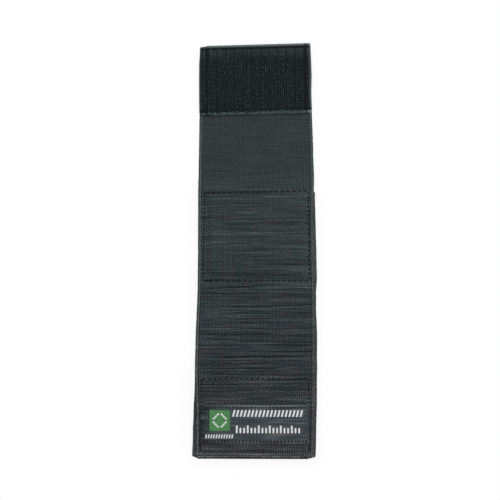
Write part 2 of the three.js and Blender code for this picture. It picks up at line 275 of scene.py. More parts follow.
@dataclass(frozen=True)
class WovenElastic(Finish):
    """Polyester-covered rubber elastic, woven: upright ribs crossed by the covering yarn.

    The rubber ribs are 1.45 mm apart with darker gaps between them. The dyed yarn is matt, and
    where the slack double cloth has drawn up it lies in pale and dark streaks across the band.
    The charcoal turns from greenish at the hook end to bluish at the label, with faint rusty
    and teal patches of wear. The filaments are too fine to show and are drawn as flecks of
    0.8 mm.
    """

    hem: str = "#48484e"
    label_side: str = "#393d43"
    creased: str = "#3d464b"
    pocket: str = "#404c4b"
    hook_side: str = "#394342"
    rust: str = "#4b4446"
    teal: str = "#30403f"
    # groove: painted shade in furrows, seams, selvedge grooves and the fold's turn; ridge: painted
    # highlight on ridges, crest and puckers, with rubbed, bound and chafed yarn
    groove: str = "#0d1315"
    ridge: str = "#7c8884"
    rib: float = 1.45
    pick: float = 0.8
    wander: float = 1.2
    fleck: float = 0.8
    patch: float = 8.0
    streak: tuple[float, float] = (26.0, 0.75)  # its length and breadth

    def paint(self, tree: NodeTree) -> Paint:
        """Draws the dye along the band, its wear, the ribs, the streaks and the yarn's turns.

        Args:
            tree: the material's node tree.

        Returns:
            The shader's sockets and the reliefs.
        """
        uv = add_node(tree, "UVMap", uv_map="UVMap")
        along = add_node(tree, "SeparateXYZ", {0: uv}).outputs["Y"]
        # each layer's length runs from 0 at the fold to 1 at the hook end
        station = add_node(tree, "Math", {0: along}, operation="ABSOLUTE")
        length = add_node(tree, "MapRange", {0: station, "From Max": 2 * HALF_LENGTH * MM})
        dyes = ((0.02, self.hem), (0.12, self.label_side), (0.33, self.creased),
                (0.5, self.pocket), (0.66, self.hook_side))
        dye = add_node(tree, "ValToRGB", {0: length}, dyes)
        slacks = ((0.12, 1.0), (0.25, 0.8), (0.38, 0.75), (0.48, 0.6), (0.65, 0.58))
        slack = add_node(tree, "ValToRGB", {0: length}, slacks)
        double = add_node(tree, "MapRange", {
            0: length, "From Min": 0.66, "From Max": 0.58, "To Max": 0.35})
        wear, stray, fleck = (
            add_node(tree, "TexNoise", {"Vector": uv, "Scale": 1 / (size * MM), "Detail": detail})
            for size, detail in ((self.patch, 2.0), (4, 1.0), (self.fleck, 2.0)))
        worn = add_node(tree, "ValToRGB", {0: wear}, ((0.35, self.teal), (0.65, self.rust)))
        aged = add_node(tree, "Mix", {0: double, 6: dye, 7: worn}, data_type="RGBA").outputs[2]
        shaded = with_shade(tree, aged, self.groove, self.ridge)
        # the ribs wander by a fraction of a millimetre
        wander = add_node(tree, "VectorMath", {
            0: stray.outputs["Color"], 1: (self.wander * MM,) * 3, 2: uv},
            operation="MULTIPLY_ADD")
        ribs = add_node(tree, "TexWave", {
            "Vector": wander, "Scale": WAVE_PERIOD / (self.rib * MM)},
            wave_type="BANDS", bands_direction="X")
        stretched = add_node(tree, "Mapping", {
            "Vector": uv, "Scale": (1 / (self.streak[0] * MM), 1 / (self.streak[1] * MM), 1)})
        streaks = add_node(tree, "TexNoise", {"Vector": stretched, "Scale": 1.0, "Detail": 2.0})
        tone = 1.0
        for pattern, low, high, dark, pale in ((ribs, 0.0, 1.0, 0.5, 1.4),
                                               (streaks, 0.3, 0.7, 0.5, 1.5),
                                               (fleck, 0.35, 0.65, 0.35, 1.85)):
            part = add_node(tree, "MapRange", {
                0: pattern.outputs["Fac"], "From Min": low, "From Max": high,
                "To Min": dark, "To Max": pale})
            tone = add_node(tree, "Math", {0: tone, 1: part}, operation="MULTIPLY")
        yarn = add_node(tree, "Mix", {0: slack, 6: shaded, 7: tone},
                        data_type="RGBA", blend_type="MULTIPLY").outputs[2]
        # the yarn's turns round each rib, staggered from rib to rib
        turned = add_node(tree, "Mapping", {"Vector": wander, "Rotation": (0, 0, math.pi / 2)})
        turns = add_node(tree, "TexBrick", {
            "Vector": turned, "Scale": 1 / MM, "Mortar Size": 0.24, "Mortar Smooth": 1.0,
            "Brick Width": self.pick, "Row Height": self.rib}, offset=0.5)
        return {"Base Color": yarn}, [(turns.outputs["Fac"], 0.8, 0.25, True),
                                      (fleck, 0.6, 0.3, False)]


@dataclass(frozen=True)
class TapeGround(Finish):
    """Nylon tape ground: a close plain weave, ribbed along the tape.

    The heat-set nylon is smoother than the elastic and takes a dull shine on its ribs.
    """

    # groove: the dark between ribs, and painted shade between the hooks and along seams; ridge:
    # bound borders, dust and painted highlight on puckers
    groove: str = "#14181a"
    ridge: str = "#4a5453"
    rib: float = 1.52
    pick: float = 0.9

    def paint(self, tree: NodeTree) -> Paint:
        """Draws the ribs and the picks across them.

        Args:
            tree: the material's node tree.

        Returns:
            The shader's sockets and the reliefs.
        """
        uv = add_node(tree, "UVMap", uv_map="UVMap")
        ribs, picks = (
            add_node(tree, "TexWave", {
                "Vector": uv, "Scale": WAVE_PERIOD / (pitch * MM), "Distortion": stray,
                "Detail": 1.0, "Detail Scale": detail}, wave_type="BANDS", bands_direction=way)
            for way, pitch, stray, detail in (("X", self.rib, 0.6, 2.0), ("Y", self.pick, 1.0, 1.0)))
        weave = add_node(tree, "Math", {0: ribs.outputs["Fac"], 1: picks.outputs["Fac"]},
                         operation="MULTIPLY")
        toned = add_node(tree, "Mix", {0: weave, 6: self.groove, 7: self.colour},
                         data_type="RGBA").outputs[2]
        return ({"Base Color": with_shade(tree, toned, self.groove, self.ridge)},
                [(weave, 0.6, 0.2, False)])


@dataclass(frozen=True)
class Filament(Finish):
    """Nylon yarn or monofilament in small shapes: one dye, lighter and darker from piece to
    piece, with the soft shine of drawn nylon."""

    dark: str = "#101314"
    light: str = "#3a4244"
    dust: str = "#7c705a"
    patch: float = 1.4

    def paint(self, tree: NodeTree) -> Paint:
        """Draws the mottled dye and the filaments.

        Args:
            tree: the material's node tree.

        Returns:
            The shader's sockets and the reliefs.
        """
        place = add_node(tree, "TexCoord").outputs["Object"]
        mottle = add_node(tree, "TexNoise", {
            "Vector": place, "Scale": 1 / (self.patch * MM), "Detail": 2.0})
        dyes = ((0.38, self.dark), (0.54, self.colour), (0.72, self.light))
        dye = add_node(tree, "ValToRGB", {0: mottle}, dyes)
        strands = add_node(tree, "TexNoise", {"Vector": place, "Scale": 1 / (0.3 * MM)})
        return ({"Base Color": with_shade(tree, dye.outputs[0], self.dark, self.dust)},
                [(strands, 0.3, 0.1, False)])


class LabelWeave(Enum):
    """How the label's yarn floats, by the slant of its ribs in degrees."""

    SATIN = 0.0
    TWILL = -45.0


@dataclass(frozen=True)
class LabelYarn(Finish):
    """Woven damask label: fine polyester yarn, satin for the ground and twill for figures.

    Its real ribs are 0.2 mm apart. They are drawn 0.7 to 1.5 mm apart so that they show.
    """

    shadow: str = "#202428"
    glint: str = "#959ca0"
    weave: LabelWeave = LabelWeave.SATIN
    rib: float = 0.9
    contrast: float = 0.5

    def paint(self, tree: NodeTree) -> Paint:
        """Draws the ribs, broken up by flecks.

        Args:
            tree: the material's node tree.

        Returns:
            The shader's sockets and the reliefs.
        """
        place = add_node(tree, "TexCoord").outputs["Object"]
        slant = (0, 0, math.radians(self.weave.value))
        turned = add_node(tree, "Mapping", {"Vector": place, "Rotation": slant})
        ribs = add_node(tree, "TexWave", {
            "Vector": turned, "Scale": WAVE_PERIOD / (self.rib * MM), "Distortion": 0.8,
            "Detail": 1.0}, wave_type="BANDS", bands_direction="X")
        fleck = add_node(tree, "TexNoise", {
            "Vector": place, "Scale": 1 / (1.2 * MM), "Detail": 2.0})
        depth = add_node(tree, "Math", {0: ribs.outputs["Fac"], 1: fleck}, operation="MULTIPLY")
        amount = add_node(tree, "MapRange", {
            0: depth, "From Max": 0.6, "To Min": self.contrast, "To Max": 0.0})
        toned = add_node(tree, "Mix", {0: amount, 6: self.colour, 7: self.shadow},
                         data_type="RGBA").outputs[2]
        return ({"Base Color": with_shade(tree, toned, self.shadow, self.glint)},
                [(depth, 0.5, 0.15, False)])


@dataclass(frozen=True)
class Felt(Finish):
    """Needled polyester felt: matt, with short fibres lying every way."""

    dark: str = "#3c3f41"
    light: str = "#77797b"

    def paint(self, tree: NodeTree) -> Paint:
        """Draws the tangled fibres.

        Args:
            tree: the material's node tree.

        Returns:
            The shader's sockets and the reliefs.
        """
        place = add_node(tree, "TexCoord").outputs["Object"]
        fibres = add_node(tree, "TexNoise", {
            "Vector": place, "Scale": 1 / (0.8 * MM), "Detail": 6.0, "Distortion": 1.5})
        toned = add_node(tree, "Mix", {0: fibres, 6: self.dark, 7: self.light},
                         data_type="RGBA")
        return {"Base Color": toned.outputs[2]}, [(fibres, 0.8, 0.3, False)]


@dataclass(frozen=True)
class Nickel(Finish):
    """Nickel plate on a sintered magnet: bright, faintly dimpled from the tumbled core."""

    def paint(self, tree: NodeTree) -> Paint:
        """Draws the dimples, which the polish misses.

        Args:
            tree: the material's node tree.

        Returns:
            The shader's sockets and the reliefs.
        """
        place = add_node(tree, "TexCoord").outputs["Object"]
        dimples = add_node(tree, "TexNoise", {
            "Vector": place, "Scale": 1 / (0.6 * MM), "Detail": 2.0})
        rubbed = add_node(tree, "MapRange", {0: dimples, "To Min": 0.16, "To Max": 0.34})
        return {"Metallic": 1.0, "Roughness": rubbed}, [(dimples, 0.15, 0.05, False)]


def made_of(finish: Finish) -> Material:
    """A field for the material of a finish, made with the dataclass that holds it."""
    return field(default_factory=finish.build)


@dataclass
class Finishes:
    """Every material of the wristband, made once."""

    elastic: Material = made_of(
        WovenElastic("woven elastic", "#343c3a", 0.93, 0.2, 0.03))
    thread: Material = made_of(Filament(
        "bonded nylon sewing thread", "#0b0d0e", 0.7, 0.2, 0.0, "#060708", "#15191a"))
    hook_ground: Material = made_of(TapeGround(
        "nylon hook tape ground", "#2e3c3f", 0.85, 0.15, 0.0, "#060a0c", "#7c8a8a", 0.75, 1.5))
    hook: Material = made_of(Filament(
        "nylon hook monofilament", "#4a5f60", 0.7, 0.15, 0.0, "#121b1d", "#8ea19f", patch=1.1))
    loop_ground: Material = made_of(
        TapeGround("nylon loop tape ground", "#1d2122", 0.9, 0.2))
    pile: Material = made_of(Filament(
        "brushed nylon loop pile", "#2b3031", 0.95, 0.15, 0.1, "#16191a", "#4b5253", patch=1.8))
    label: Material = made_of(LabelYarn(
        "polyester satin label", "#575e63", 0.9, 0.15, 0.0, "#1d2124", "#959ca0",
        LabelWeave.SATIN, 1.5, 0.6))
    green: Material = made_of(LabelYarn(
        "green twill yarn", "#74b573", 0.8, 0.25, 0.0, "#2c6a3a", "#74b573",
        LabelWeave.TWILL, 1.25, 0.9))
    white: Material = made_of(LabelYarn(
        "white satin yarn", "#ffffff", 0.6, 0.3, 0.0, "#b9c2c8", "#ffffff",
        LabelWeave.TWILL, 0.7, 0.1))
    felt: Material = made_of(Felt("needled felt", "#55585a", 1.0, 0.1))
    nickel: Material = made_of(Nickel("nickel plate", "#c9cbcd", 0.25, 0.5))


# Cloth


@dataclass(frozen=True)
class Relief:
    """How a cloth departs from flat at one place."""

    lift: float = 0.0  # how far both faces move outward
    pinch: float = 0.0  # how far each face sinks into the cloth
    shade: float = 0.0  # from -1, the painted shade of a furrow, to 1, the pale of a ridge: painted highlight, partly rubbed yarn


def to_data(name: str, mesh: BMesh) -> Mesh:
    """Turns a bmesh to a mesh that objects and stamps can use.

    Args:
        name: the mesh's name.
        mesh: the bmesh, which is freed.

    Returns:
        The mesh.
    """
    data = bpy.data.meshes.new(name)
    mesh.to_mesh(data)
    mesh.free()
    return data


def finished(name: str, mesh: BMesh, material: Material) -> Object:
    """Turns a bmesh to a piece of the scene.

    Args:
        name: the piece's name.
        mesh: its shape in the CAD frame, in metres.
        material: its finish.

    Returns:
        The piece.
    """
    data = to_data(name, mesh)
    data.materials.append(material)
    return add_object(name, data)


def report(piece: Object) -> None:
    """Logs a piece's name and how many faces it has."""
    log.info("%s: %d faces", piece.name, len(piece.data.polygons))


def settle(piece: Object, node: str, body: str) -> None:
    """Says what a piece stands for and what it rides on, and logs it.

    Args:
        piece: the piece.
        node: the CAD node that it replaces.
        body: that it moves with.
    """
    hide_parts(node)
    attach(piece, body)
    report(piece)


@dataclass
class Cloth:
    """A closed, thin solid of cloth with round edges."""

    name: str
    columns: list[float]  # distances from its left edge, without the round edges
    rows: list[float]  # places along it
    thickness: float
    relief: Callable[[float, float], Relief]  # at a distance across and a place along
    place: Callable[[float, float, float], Vector]  # the same, with a height off the middle
    material: Material
    edge_steps: int = 5
    slack: float = 0.18  # how far its inner face may sink with the outer one
    deepest: float = 0.7  # the most of a face's height that a pinch takes

    def outline(self) -> list[tuple[float, float, int]]:
        """Draws the cross-section, closed.

        Returns:
            Its points: across, height off the middle, and the number of the column.
        """
        r, left, right = self.thickness / 2, self.columns[0], self.columns[-1]
        turns = [math.pi * k / self.edge_steps for k in range(1, self.edge_steps)]
        faces = [[(a, side, k) for k, a in enumerate(self.columns)] for side in (r, -r)]
        closed = faces[0] + [
            (right + r * math.sin(t), r * math.cos(t), len(self.columns) - 1) for t in turns]
        closed += faces[1][::-1] + [(left - r * math.sin(t), -r * math.cos(t), 0) for t in turns]
        return closed + closed[:1]

    def build(self) -> Object:
        """Builds the piece from a grid wrapped round the cross-section.

        Returns:
            The piece, in its place.
        """
        outline = self.outline()
        wide, long = len(outline) - 1, len(self.rows) - 1
        developed = [self.columns[0]]
        for (a, h, _), (b, g, _) in zip(outline, outline[1:]):
            developed.append(developed[-1] + math.hypot(b - a, g - h))
        reliefs = [[self.relief(a, b) for a in self.columns] for b in self.rows]
        mesh = bmesh.new()
        bmesh.ops.create_grid(mesh, x_segments=wide, y_segments=long, size=0.5)
        uv = mesh.loops.layers.uv.new("UVMap")
        shade = mesh.verts.layers.float.new("shade")
        index = {
            v: (round((v.co.x + 0.5) * wide), round((v.co.y + 0.5) * long)) for v in mesh.verts}
        for face in mesh.faces:
            face.smooth = True
            for loop in face.loops:
                i, j = index[loop.vert]
                loop[uv].uv = (developed[i] * MM, self.rows[j] * MM)
        half = self.thickness / 2
        for vert, (i, j) in index.items():
            a, h, column = outline[i]
            r = reliefs[j][column]
            vert[shade] = min(max(r.shade, -1.0), 1.0)
            lift = r.lift if h > 0 else max(r.lift, -self.slack)
            height = h * (1 - min(r.pinch / half, self.deepest)) + lift
            vert.co = self.place(a, self.rows[j], height)
        bmesh.ops.remove_doubles(mesh, verts=mesh.verts[:], dist=0.0005 * MM)
        rims = [e for e in mesh.edges if e.is_boundary]
        for cap in bmesh.ops.holes_fill(mesh, edges=rims, sides=0)["faces"]:
            cap.smooth = False
            for edge in cap.edges:
                edge.smooth = False
        bmesh.ops.recalc_face_normals(mesh, faces=mesh.faces[:])
        return finished(self.name, mesh, self.material)


# Small shapes that repeat


@dataclass(frozen=True)
class Spot:
    """Where one of many like shapes stands on the band."""

    x: float
    station: float
    heading: float = 0.0
    size: float = 1.0
    lean: tuple[float, float] = (0.0, 0.0)  # across and along, for each millimetre of height


def stamp(mesh: BMesh, shape: Mesh, spot: Spot,
          height: Callable[[float, float, float], float]) -> None:
    """Adds a copy of a shape to a mesh.

    Args:
        mesh: it takes the copy.
        shape: at the origin, in millimetres.
        spot: where the copy stands.
        height: of a point, by its place across and along and its height in the shape.
    """
    first = len(mesh.verts)
    mesh.from_mesh(shape)
    mesh.verts.ensure_lookup_table()
    cos, sin = math.cos(spot.heading) * spot.size, math.sin(spot.heading) * spot.size
    for vert in mesh.verts[first:]:
        px, py, pz = vert.co
        x = spot.x + px * cos - py * sin + spot.lean[0] * pz
        y = spot.station + px * sin + py * cos + spot.lean[1] * pz
        vert.co = to_frame(x, y, height(x, y, pz))


def capped(name: str, mesh: BMesh) -> Mesh:
    """Closes the ends of a swept shape.

    Args:
        name: the mesh's name.
        mesh: the swept shape.

    Returns:
        The closed shape.
    """
    bmesh.ops.holes_fill(mesh, edges=[e for e in mesh.edges if e.is_boundary], sides=0)
    bmesh.ops.recalc_face_normals(mesh, faces=mesh.faces[:])
    return to_data(name, mesh)


def smoothed(name: str, mesh: BMesh, material: Material) -> Object:
    """Turns many small round shapes to one piece.

    Args:
        name: the piece's name.
        mesh: its shapes in the CAD frame.
        material: its finish.

    Returns:
        The piece.
    """
    for face in mesh.faces:
        face.smooth = True
    return finished(name, mesh, material)


# Seams


@dataclass(frozen=True)
class Row:
    """One straight row of stitches between two places (across, along)."""

    start: tuple[float, float]
    end: tuple[float, float]
    bold: float = 1.0  # thickness of its stitches
    pitch: float = 3.3

    @property
    def length(self) -> float:
        """The row's length."""
        return math.dist(self.start, self.end)

    @property
    def stitches(self) -> int:
        """How many stitches fit the row."""
        return max(1, round(self.length / self.pitch))

    def beside(self, x: float, y: float) -> tuple[float, float]:
        """Finds where a place lies beside the row.

        Args:
            x: across the band.
            y: along it.

        Returns:
            How far away the place is, and where along the row, counted in stitches.
        """
        (ax, ay), (bx, by) = self.start, self.end
        dx, dy = bx - ax, by - ay
        share = min(max(((x - ax) * dx + (y - ay) * dy) / (dx * dx + dy * dy), 0.0), 1.0)
        return math.hypot(x - ax - dx * share, y - ay - dy * share), share * self.stitches


def seam_relief(rows: Iterable[Row], x: float, y: float, depth: float) -> Relief:
    """The furrow that rows of stitches pull into a cloth, with the puckers beside it.

    Args:
        rows: the seam's rows.
        x: across the band.
        y: along it.
        depth: of the furrow.

    Returns:
        The relief at that place.
    """
    lift = pinch = shade = 0.0
    for row in rows:
        away, count = row.beside(x, y)
        if away > 4:
            continue
        hole = 0.5 + 0.5 * math.cos(2 * math.pi * count)  # 1 where the thread dips through
        pinch += row.bold * depth * (0.5 + 0.5 * hole) * bump(away, 0.45)
        # painted shade along each stitch, for the thread and its furrow, and painted highlight on
        # the puckers at the holes and beside the row
        shade += row.bold * (0.3 * hole - 0.45 * (1 - hole)) * bump(away, 0.5)
        shade += 0.12 * row.bold * bump(away - 1.2, 0.4)
        lift += 0.07 * row.bold * (2 * hole - 1) * bump(away, 1.6)
    return Relief(lift, pinch, shade)


@dataclass
class Seam:
    """A sewn seam: its upper thread on one face, or its under thread on the other."""

    name: str
    node: str  # that it stands for
    body: str  # that it moves with
    rows: list[Row]
    height: float  # of the face that the thread lies on
    up: int = 1  # -1 on an under face
    arch: float = 0.22
    radius: float = 0.38
    share: float = 0.78  # of the pitch that shows as a stitch
    plunge: float = 0.45
    plies: float = 0.16  # how far the two plies stand out
    twist: float = 5.0
    taper: float = 0.45
    wander: float = 0.16
    sizes: tuple[float, float] = (0.82, 1.18)

    def stitch(self, length: float, radius: float) -> Mesh:
        """One stitch along X: two plies twisted, its ends drawn into the cloth.

        Args:
            length: of the stitch.
            radius: of its thread.

        Returns:
            The stitch, at the origin.
        """
        mesh = bmesh.new()
        bmesh.ops.create_cone(mesh, cap_ends=True, segments=7, radius1=radius, radius2=radius,
                              depth=length)
        sides = [e for e in mesh.edges if abs(e.verts[0].co.z - e.verts[1].co.z) > length / 2]
        bmesh.ops.subdivide_edges(mesh, edges=sides, cuts=7, use_grid_fill=True)
        bmesh.ops.rotate(mesh, verts=mesh.verts[:], matrix=Matrix.Rotation(math.pi / 2, 3, "Y"))
        for vert in mesh.verts:
            t = 2 * vert.co.x / length
            turn = 2 * math.atan2(vert.co.z, vert.co.y) - self.twist * t
            slim = (1 - self.taper * t * t) * (1 + self.plies * math.cos(turn))
            vert.co.y *= slim
            vert.co.z = vert.co.z * slim + self.arch - (self.arch + self.plunge) * t * t
        return to_data("stitch", mesh)

    def build(self, material: Material) -> None:
        """Lays a stitch on every pitch of every row.

        Args:
            material: the thread's finish.
        """
        chance = random.Random(self.name)
        mesh = bmesh.new()
        for row in self.rows:
            (ax, ay), (bx, by) = row.start, row.end
            heading = math.atan2(by - ay, bx - ax)
            pattern = self.stitch(row.length / row.stitches * self.share, self.radius * row.bold)
            for k in range(row.stitches):
                along = (k + 0.5) / row.stitches
                turn = heading + chance.uniform(-0.1, 0.1)
                size = chance.uniform(*self.sizes)
                spot = Spot(ax + (bx - ax) * along + chance.uniform(-self.wander, self.wander),
                            ay + (by - ay) * along + chance.uniform(-self.wander, self.wander),
                            turn, size)
                stamp(mesh, pattern, spot, lambda x, y, z: self.height + self.up * z)
            bpy.data.meshes.remove(pattern)
        bmesh.ops.recalc_face_normals(mesh, faces=mesh.faces[:])
        settle(smoothed(self.name, mesh, material), self.node, self.body)


def rectangle(left: float, right: float, near: tuple[float, float], far: tuple[float, float],
              bold: tuple[float, float, float], pitch: tuple[float, float, float]) -> list[Row]:
    """The four rows of a sewn rectangle.

    Args:
        left: of its left column.
        right: of its right column.
        near: places along of the near row's left and right end.
        far: the same of the far row.
        bold: of the near row, the columns and the far row.
        pitch: the same.

    Returns:
        The near row, right column, far row and left column.
    """
    corners = [(left, near[0]), (right, near[1]), (right, far[1]), (left, far[0])]
    return [Row(a, b, bold[k], pitch[k])
            for a, b, k in zip(corners, corners[1:] + corners[:1], (0, 1, 2, 1))]


# Elastic band


@dataclass(frozen=True)
class Crease:
    """A crease across the cloth: a furrow darkened with painted shade, with a ridge beside it paled
    with painted highlight and partly rubbed.
    """

    station: float  # at the middle of its length
    left: float
    right: float
    depth: float  # of the furrow, as a share of the deepest
    ridge: float  # its height, as a share of the highest
    climb: float = 0.0  # its slope: how much further along it lies 40 mm to the right
    side: int = -1  # 1 where the ridge lies nearer the hook end


LARGE_CREASES = [Crease(*row) for row in (
    (159.0, 15, 35, 0.4, 0.3), (153.6, -36, -18, 0.5, 0.4, 1.0), (150.8, 12, 35, 0.4, 0.3),
    (142.7, 20, 35, 0.4, 0.3), (138.0, 2, 36, 0.4, 0.4), (132.6, 0, 36, 0.5, 0.4),
    (127.6, -18, 35, 0.5, 0.4), (122.6, -12, 35, 0.4, 0.4), (117.0, -36, -12, 0.4, 0.3),
    (107.7, -37, 8, 0.8, 0.4, 2.4), (103.3, -37, -6, 0.5, 0.4, 1.0), (101.9, 0, 37, 0.8, 0.5),
    (97.6, -36, -6, 0.35, 0.2, 0.8), (95.4, -14, 37, 0.6, 1.0, 1.9),
    (92.2, -37, -8, 0.5, 0.9, 1.9), (87.5, -32, 37, 0.7, 1.0, 0.9),
    (83.8, -36, -2, 0.6, 0.7, 1.9), (80.8, -2, 37, 0.6, 0.4), (77.2, -37, 8, 1.0, 1.0, 0.4),
    (73.0, -10, 36, 0.7, 0.6, 0.0, 1), (70.1, -37, -6, 0.8, 0.8), (70.2, -4, 28, 0.2, 0.6),
    (66.7, 8, 37, 0.3, 0.6), (63.2, -18, 35, 0.9, 0.6, 0.4, 1), (62.3, -37, -17, 0.3, 0.6),
    (58.7, -36, -17, 0.6, 0.3), (58.2, 12, 30, 0.6, 0.3), (55.3, -24, 12, 0.7, 0.3),
    (44.8, 14, 37, 0.3, 0.5), (42.6, 14, 35, 0.6, 0.3), (41.6, -36, -2, 0.6, 0.3, 0.8),
    (39.6, -34, -12, 0.2, 0.5), (38.4, -30, 33, 0.7, 0.2), (35.8, -33, 33, 0.7, 0.0),
    (34.5, -34, 33, 0.0, 0.8), (8.2, -34, 33, 0.0, 1.3, 0.0, 1), (6.3, -34, 33, 0.4, 0.9, 0.0, 1),
    (4.5, -34, 33, 0.2, 0.7, 0.0, 1),
)]


class Layer(Enum):
    """Which layer of the folded strip a place lies in."""

    FRONT = 1
    BACK = -1


@dataclass
class ElasticBand:
    """The elastic strip, its fold and the panels that it is cut into at the bends."""

    finishes: Finishes
    width: float = 76.0
    thickness: float = 1.4
    fold_radius: float = 1.55  # of the outer face at the fold
    fold_middle: float = 0.85  # of the cloth's middle at the fold
    front_middle: float = 2.4  # heights of the cloth's middle
    back_middle: float = 0.7
    label_rise: float = 2.1  # the label end lies this much higher, on the loop patch
    label_stop: float = 47.0  # stations between the panels that lie across joint lines and the others
    pocket_start: float = 111.4
    pocket_stop: float = 168.8
    hook_start: float = 228.4
    hook_stop: float = 278.4
    back_stop: float = 172.6
    skew: float = 0.034  # the cut end climbs this much per millimetre to the right
    left_tuck: float = 2.7
    right_tuck: float = 4.7
    crease_depth: float = 0.34
    crease_width: float = 0.38
    ridge_height: float = 0.2
    ridge_width: float = 0.4
    ridge_away: float = 0.85  # from the middle of the furrow
    swell: float = 2.3  # the pocket's rise over the magnets
    swell_slope: float = 4.6
    swell_span: tuple[float, float] = (112.5, 171.4)
    double_stop: float = 174.0  # the cloth is single from here on
    seam_depth: float = 0.42
    border: float = 5.2  # the columns of points are close together this far from an edge
    column_step: float = 0.85  # between the other columns
    coarse: float = 0.8  # steps along the course where little shows, and where more does
    middling: float = 0.7
    fine: float = 0.35
    finest: float = 0.27
    label_side_joints: tuple = (50.3, 64.6, 78.9, 93.2, 107.5)
    hook_side_joints: tuple = (173.0, 185.85, 198.7, 211.55, 224.4)
    bend_reach: float = 2.6  # how far the cloth would bend on both sides of a joint line; not used
    pocket_rows: list[Row] = field(default_factory=lambda: rectangle(
        -34.2, 35.0, (112.5, 112.4), (171.1, 173.0), (0.6, 0.85, 0.8), (3.6, 3.0, 3.8)))
    loop_rows: list[Row] = field(default_factory=lambda: rectangle(
        -34.0, 33.5, (4.5, 4.6), (49.0, 49.1), (0.55, 0.95, 0.65), (2.0, 2.2, 3.4)))
    hook_rows: list[Row] = field(default_factory=lambda: rectangle(
        -34.2, 34.2, (228.6, 231.0), (275.1, 276.9), (1.15, 1.0, 0.9), (2.2, 2.4, 2.6)))
    creases: list[Crease] = field(default_factory=LARGE_CREASES.copy)
    near_creases: list[Crease] = field(default_factory=list)  # those of one panel
    # where the edges of both layers lie across, by station
    front_left: tuple = ((0, -37.0), (30, -37.5), (50, -38.4), (60, -38.6), (84, -38.3),
                         (105, -37.7), (130, -37.85), (154, -38.2), (173, -38.45),
                         (228, -38.5), (242, -38.85), (254, -39.1), (266, -39.2),
                         (272, -38.9), (280, -38.8))
    front_right: tuple = ((0, 36.4), (25, 37.15), (50, 37.85), (77, 38.4), (104, 38.6),
                          (145, 38.5), (173, 38.8), (184, 39.2), (194, 38.9), (213, 38.75),
                          (228, 38.25), (242, 38.0), (254, 38.4), (266, 38.15), (280, 37.7))
    back_left: tuple = ((0, -39.35), (25, -39.0), (50, -38.4), (84, -37.6), (173, -37.0))
    back_right: tuple = ((0, 37.55), (19, 38.15), (35, 38.75), (50, 39.05), (64, 39.5),
                         (77, 39.7), (96, 39.3), (105, 39.35), (114, 40.1), (145, 39.85),
                         (158, 39.7), (173, 39.5))
    # painted highlights on the fold's crest and painted shade in its turns: station, breadth and
    # shade
    crest: tuple = ((2.6, 0.28, 1.1), (2.05, 0.28, -0.8), (1.5, 0.25, 1.0), (0.85, 0.4, -1.0))
    # how far the fold's corners are drawn in, as a share of the tucks
    tuck: tuple = ((0.2, 1.0), (0.88, 0.87), (1.08, 0.6), (1.3, 0.3), (1.5, 0.06), (2.2, 0.0))

    def __post_init__(self) -> None:
        """Scatters small creases between the large ones, from stretch to stretch."""
        chance = random.Random(7)
        for at, end, step, depth in ((10, 54, 1.1, 0.62), (54, 108, 1.4, 0.6),
                                     (108, 172, 1.2, 0.42), (176, 226, 2, 0.1)):
            while at < end:
                at += step * chance.uniform(0.7, 1.3)
                left = chance.uniform(-60, 6)
                self.creases.append(Crease(
                    at, left, left + chance.uniform(34, 80), depth * chance.uniform(0.3, 1.4),
                    depth * chance.uniform(0.2, 1.3), chance.uniform(-0.3, 0.8),
                    chance.choice((-1, 1))))

    @property
    def turn(self) -> float:
        """Half the developed length of the fold."""
        return self.fold_middle * math.pi / 2

    def course_at(self, station: float, layer: Layer = Layer.FRONT) -> float:
        """The place on the strip's course that lies at a station of a layer."""
        return layer.value * (station - self.fold_radius + self.turn)

    def middle(self, station: float, layer: Layer) -> float:
        """Finds how high the middle of the cloth lies.

        Args:
            station: where along the band.
            layer: which layer.

        Returns:
            The height, which rises on the loop patch and drops past the pocket.
        """
        bend, level = self.label_side_joints[:2]
        rise = self.label_rise * (1 - ease((station - bend) / (level - bend)))
        if layer is Layer.BACK:
            return self.back_middle + rise
        bend, level = self.hook_side_joints[:2]
        drop = (self.front_middle - self.back_middle) * ease((station - bend) / (level - bend))
        return self.front_middle + rise - drop

    def course(self, t: float) -> tuple[float, float, float, float]:
        """Follows the strip.

        Args:
            t: distance from the middle of the fold, negative in the returning layer.

        Returns:
            Station and height of the cloth's middle, and how far along and up outward is.
        """
        if abs(t) <= self.turn:
            cos, sin = math.cos(t / self.fold_middle), math.sin(t / self.fold_middle)
            centre = (self.middle(0, Layer.FRONT) + self.middle(0, Layer.BACK)) / 2
            return (self.fold_radius - self.fold_middle * cos, centre + self.fold_middle * sin,
                    -cos, sin)
        layer = Layer.FRONT if t > 0 else Layer.BACK
        station = self.fold_radius + abs(t) - self.turn
        return station, self.middle(station, layer), 0.0, float(layer.value)

    def across(self, a: float, t: float) -> float:
        """Finds a place across the band.

        Args:
            a: distance from the left edge.
            t: place on the course.

        Returns:
            The place across, between edges that wander and are drawn in at the fold.
        """
        share = ease((t / self.turn + 1) / 2)
        station = self.fold_radius + abs(t) - self.turn
        edges = []
        for front, back, ahead, tuck, side in (
                (self.front_left, self.back_left, 0.0, self.left_tuck, 3.1),
                (self.front_right, self.back_right, 0.25, -self.right_tuck, 8.7)):
            under = along_table(back, station)
            line = under + (along_table(front, station) - under) * share
            stray = 0.14 * grain(t / 7, side, 0) + 0.1 * grain(t / 2, side, 5.0)
            edges.append(line + along_table(self.tuck, station + ahead) * tuck + stray)
        return edges[0] + (edges[1] - edges[0]) * a / self.width

    def place(self, a: float, t: float, height: float) -> Vector:
        """Finds a point of the strip.

        Args:
            a: distance from the left edge.
            t: place on the course.
            height: outward from the middle of the cloth.

        Returns:
            The point in the CAD frame.
        """
        station, z, along, up = self.course(t)
        x = self.across(a, t)
        # the hook end is cut on the slant
        past = (station - self.hook_start) / (self.hook_stop - self.hook_start)
        slant = max(past, 0.0) * self.skew * x
        return to_frame(x, station + slant + along * height, z + up * height)

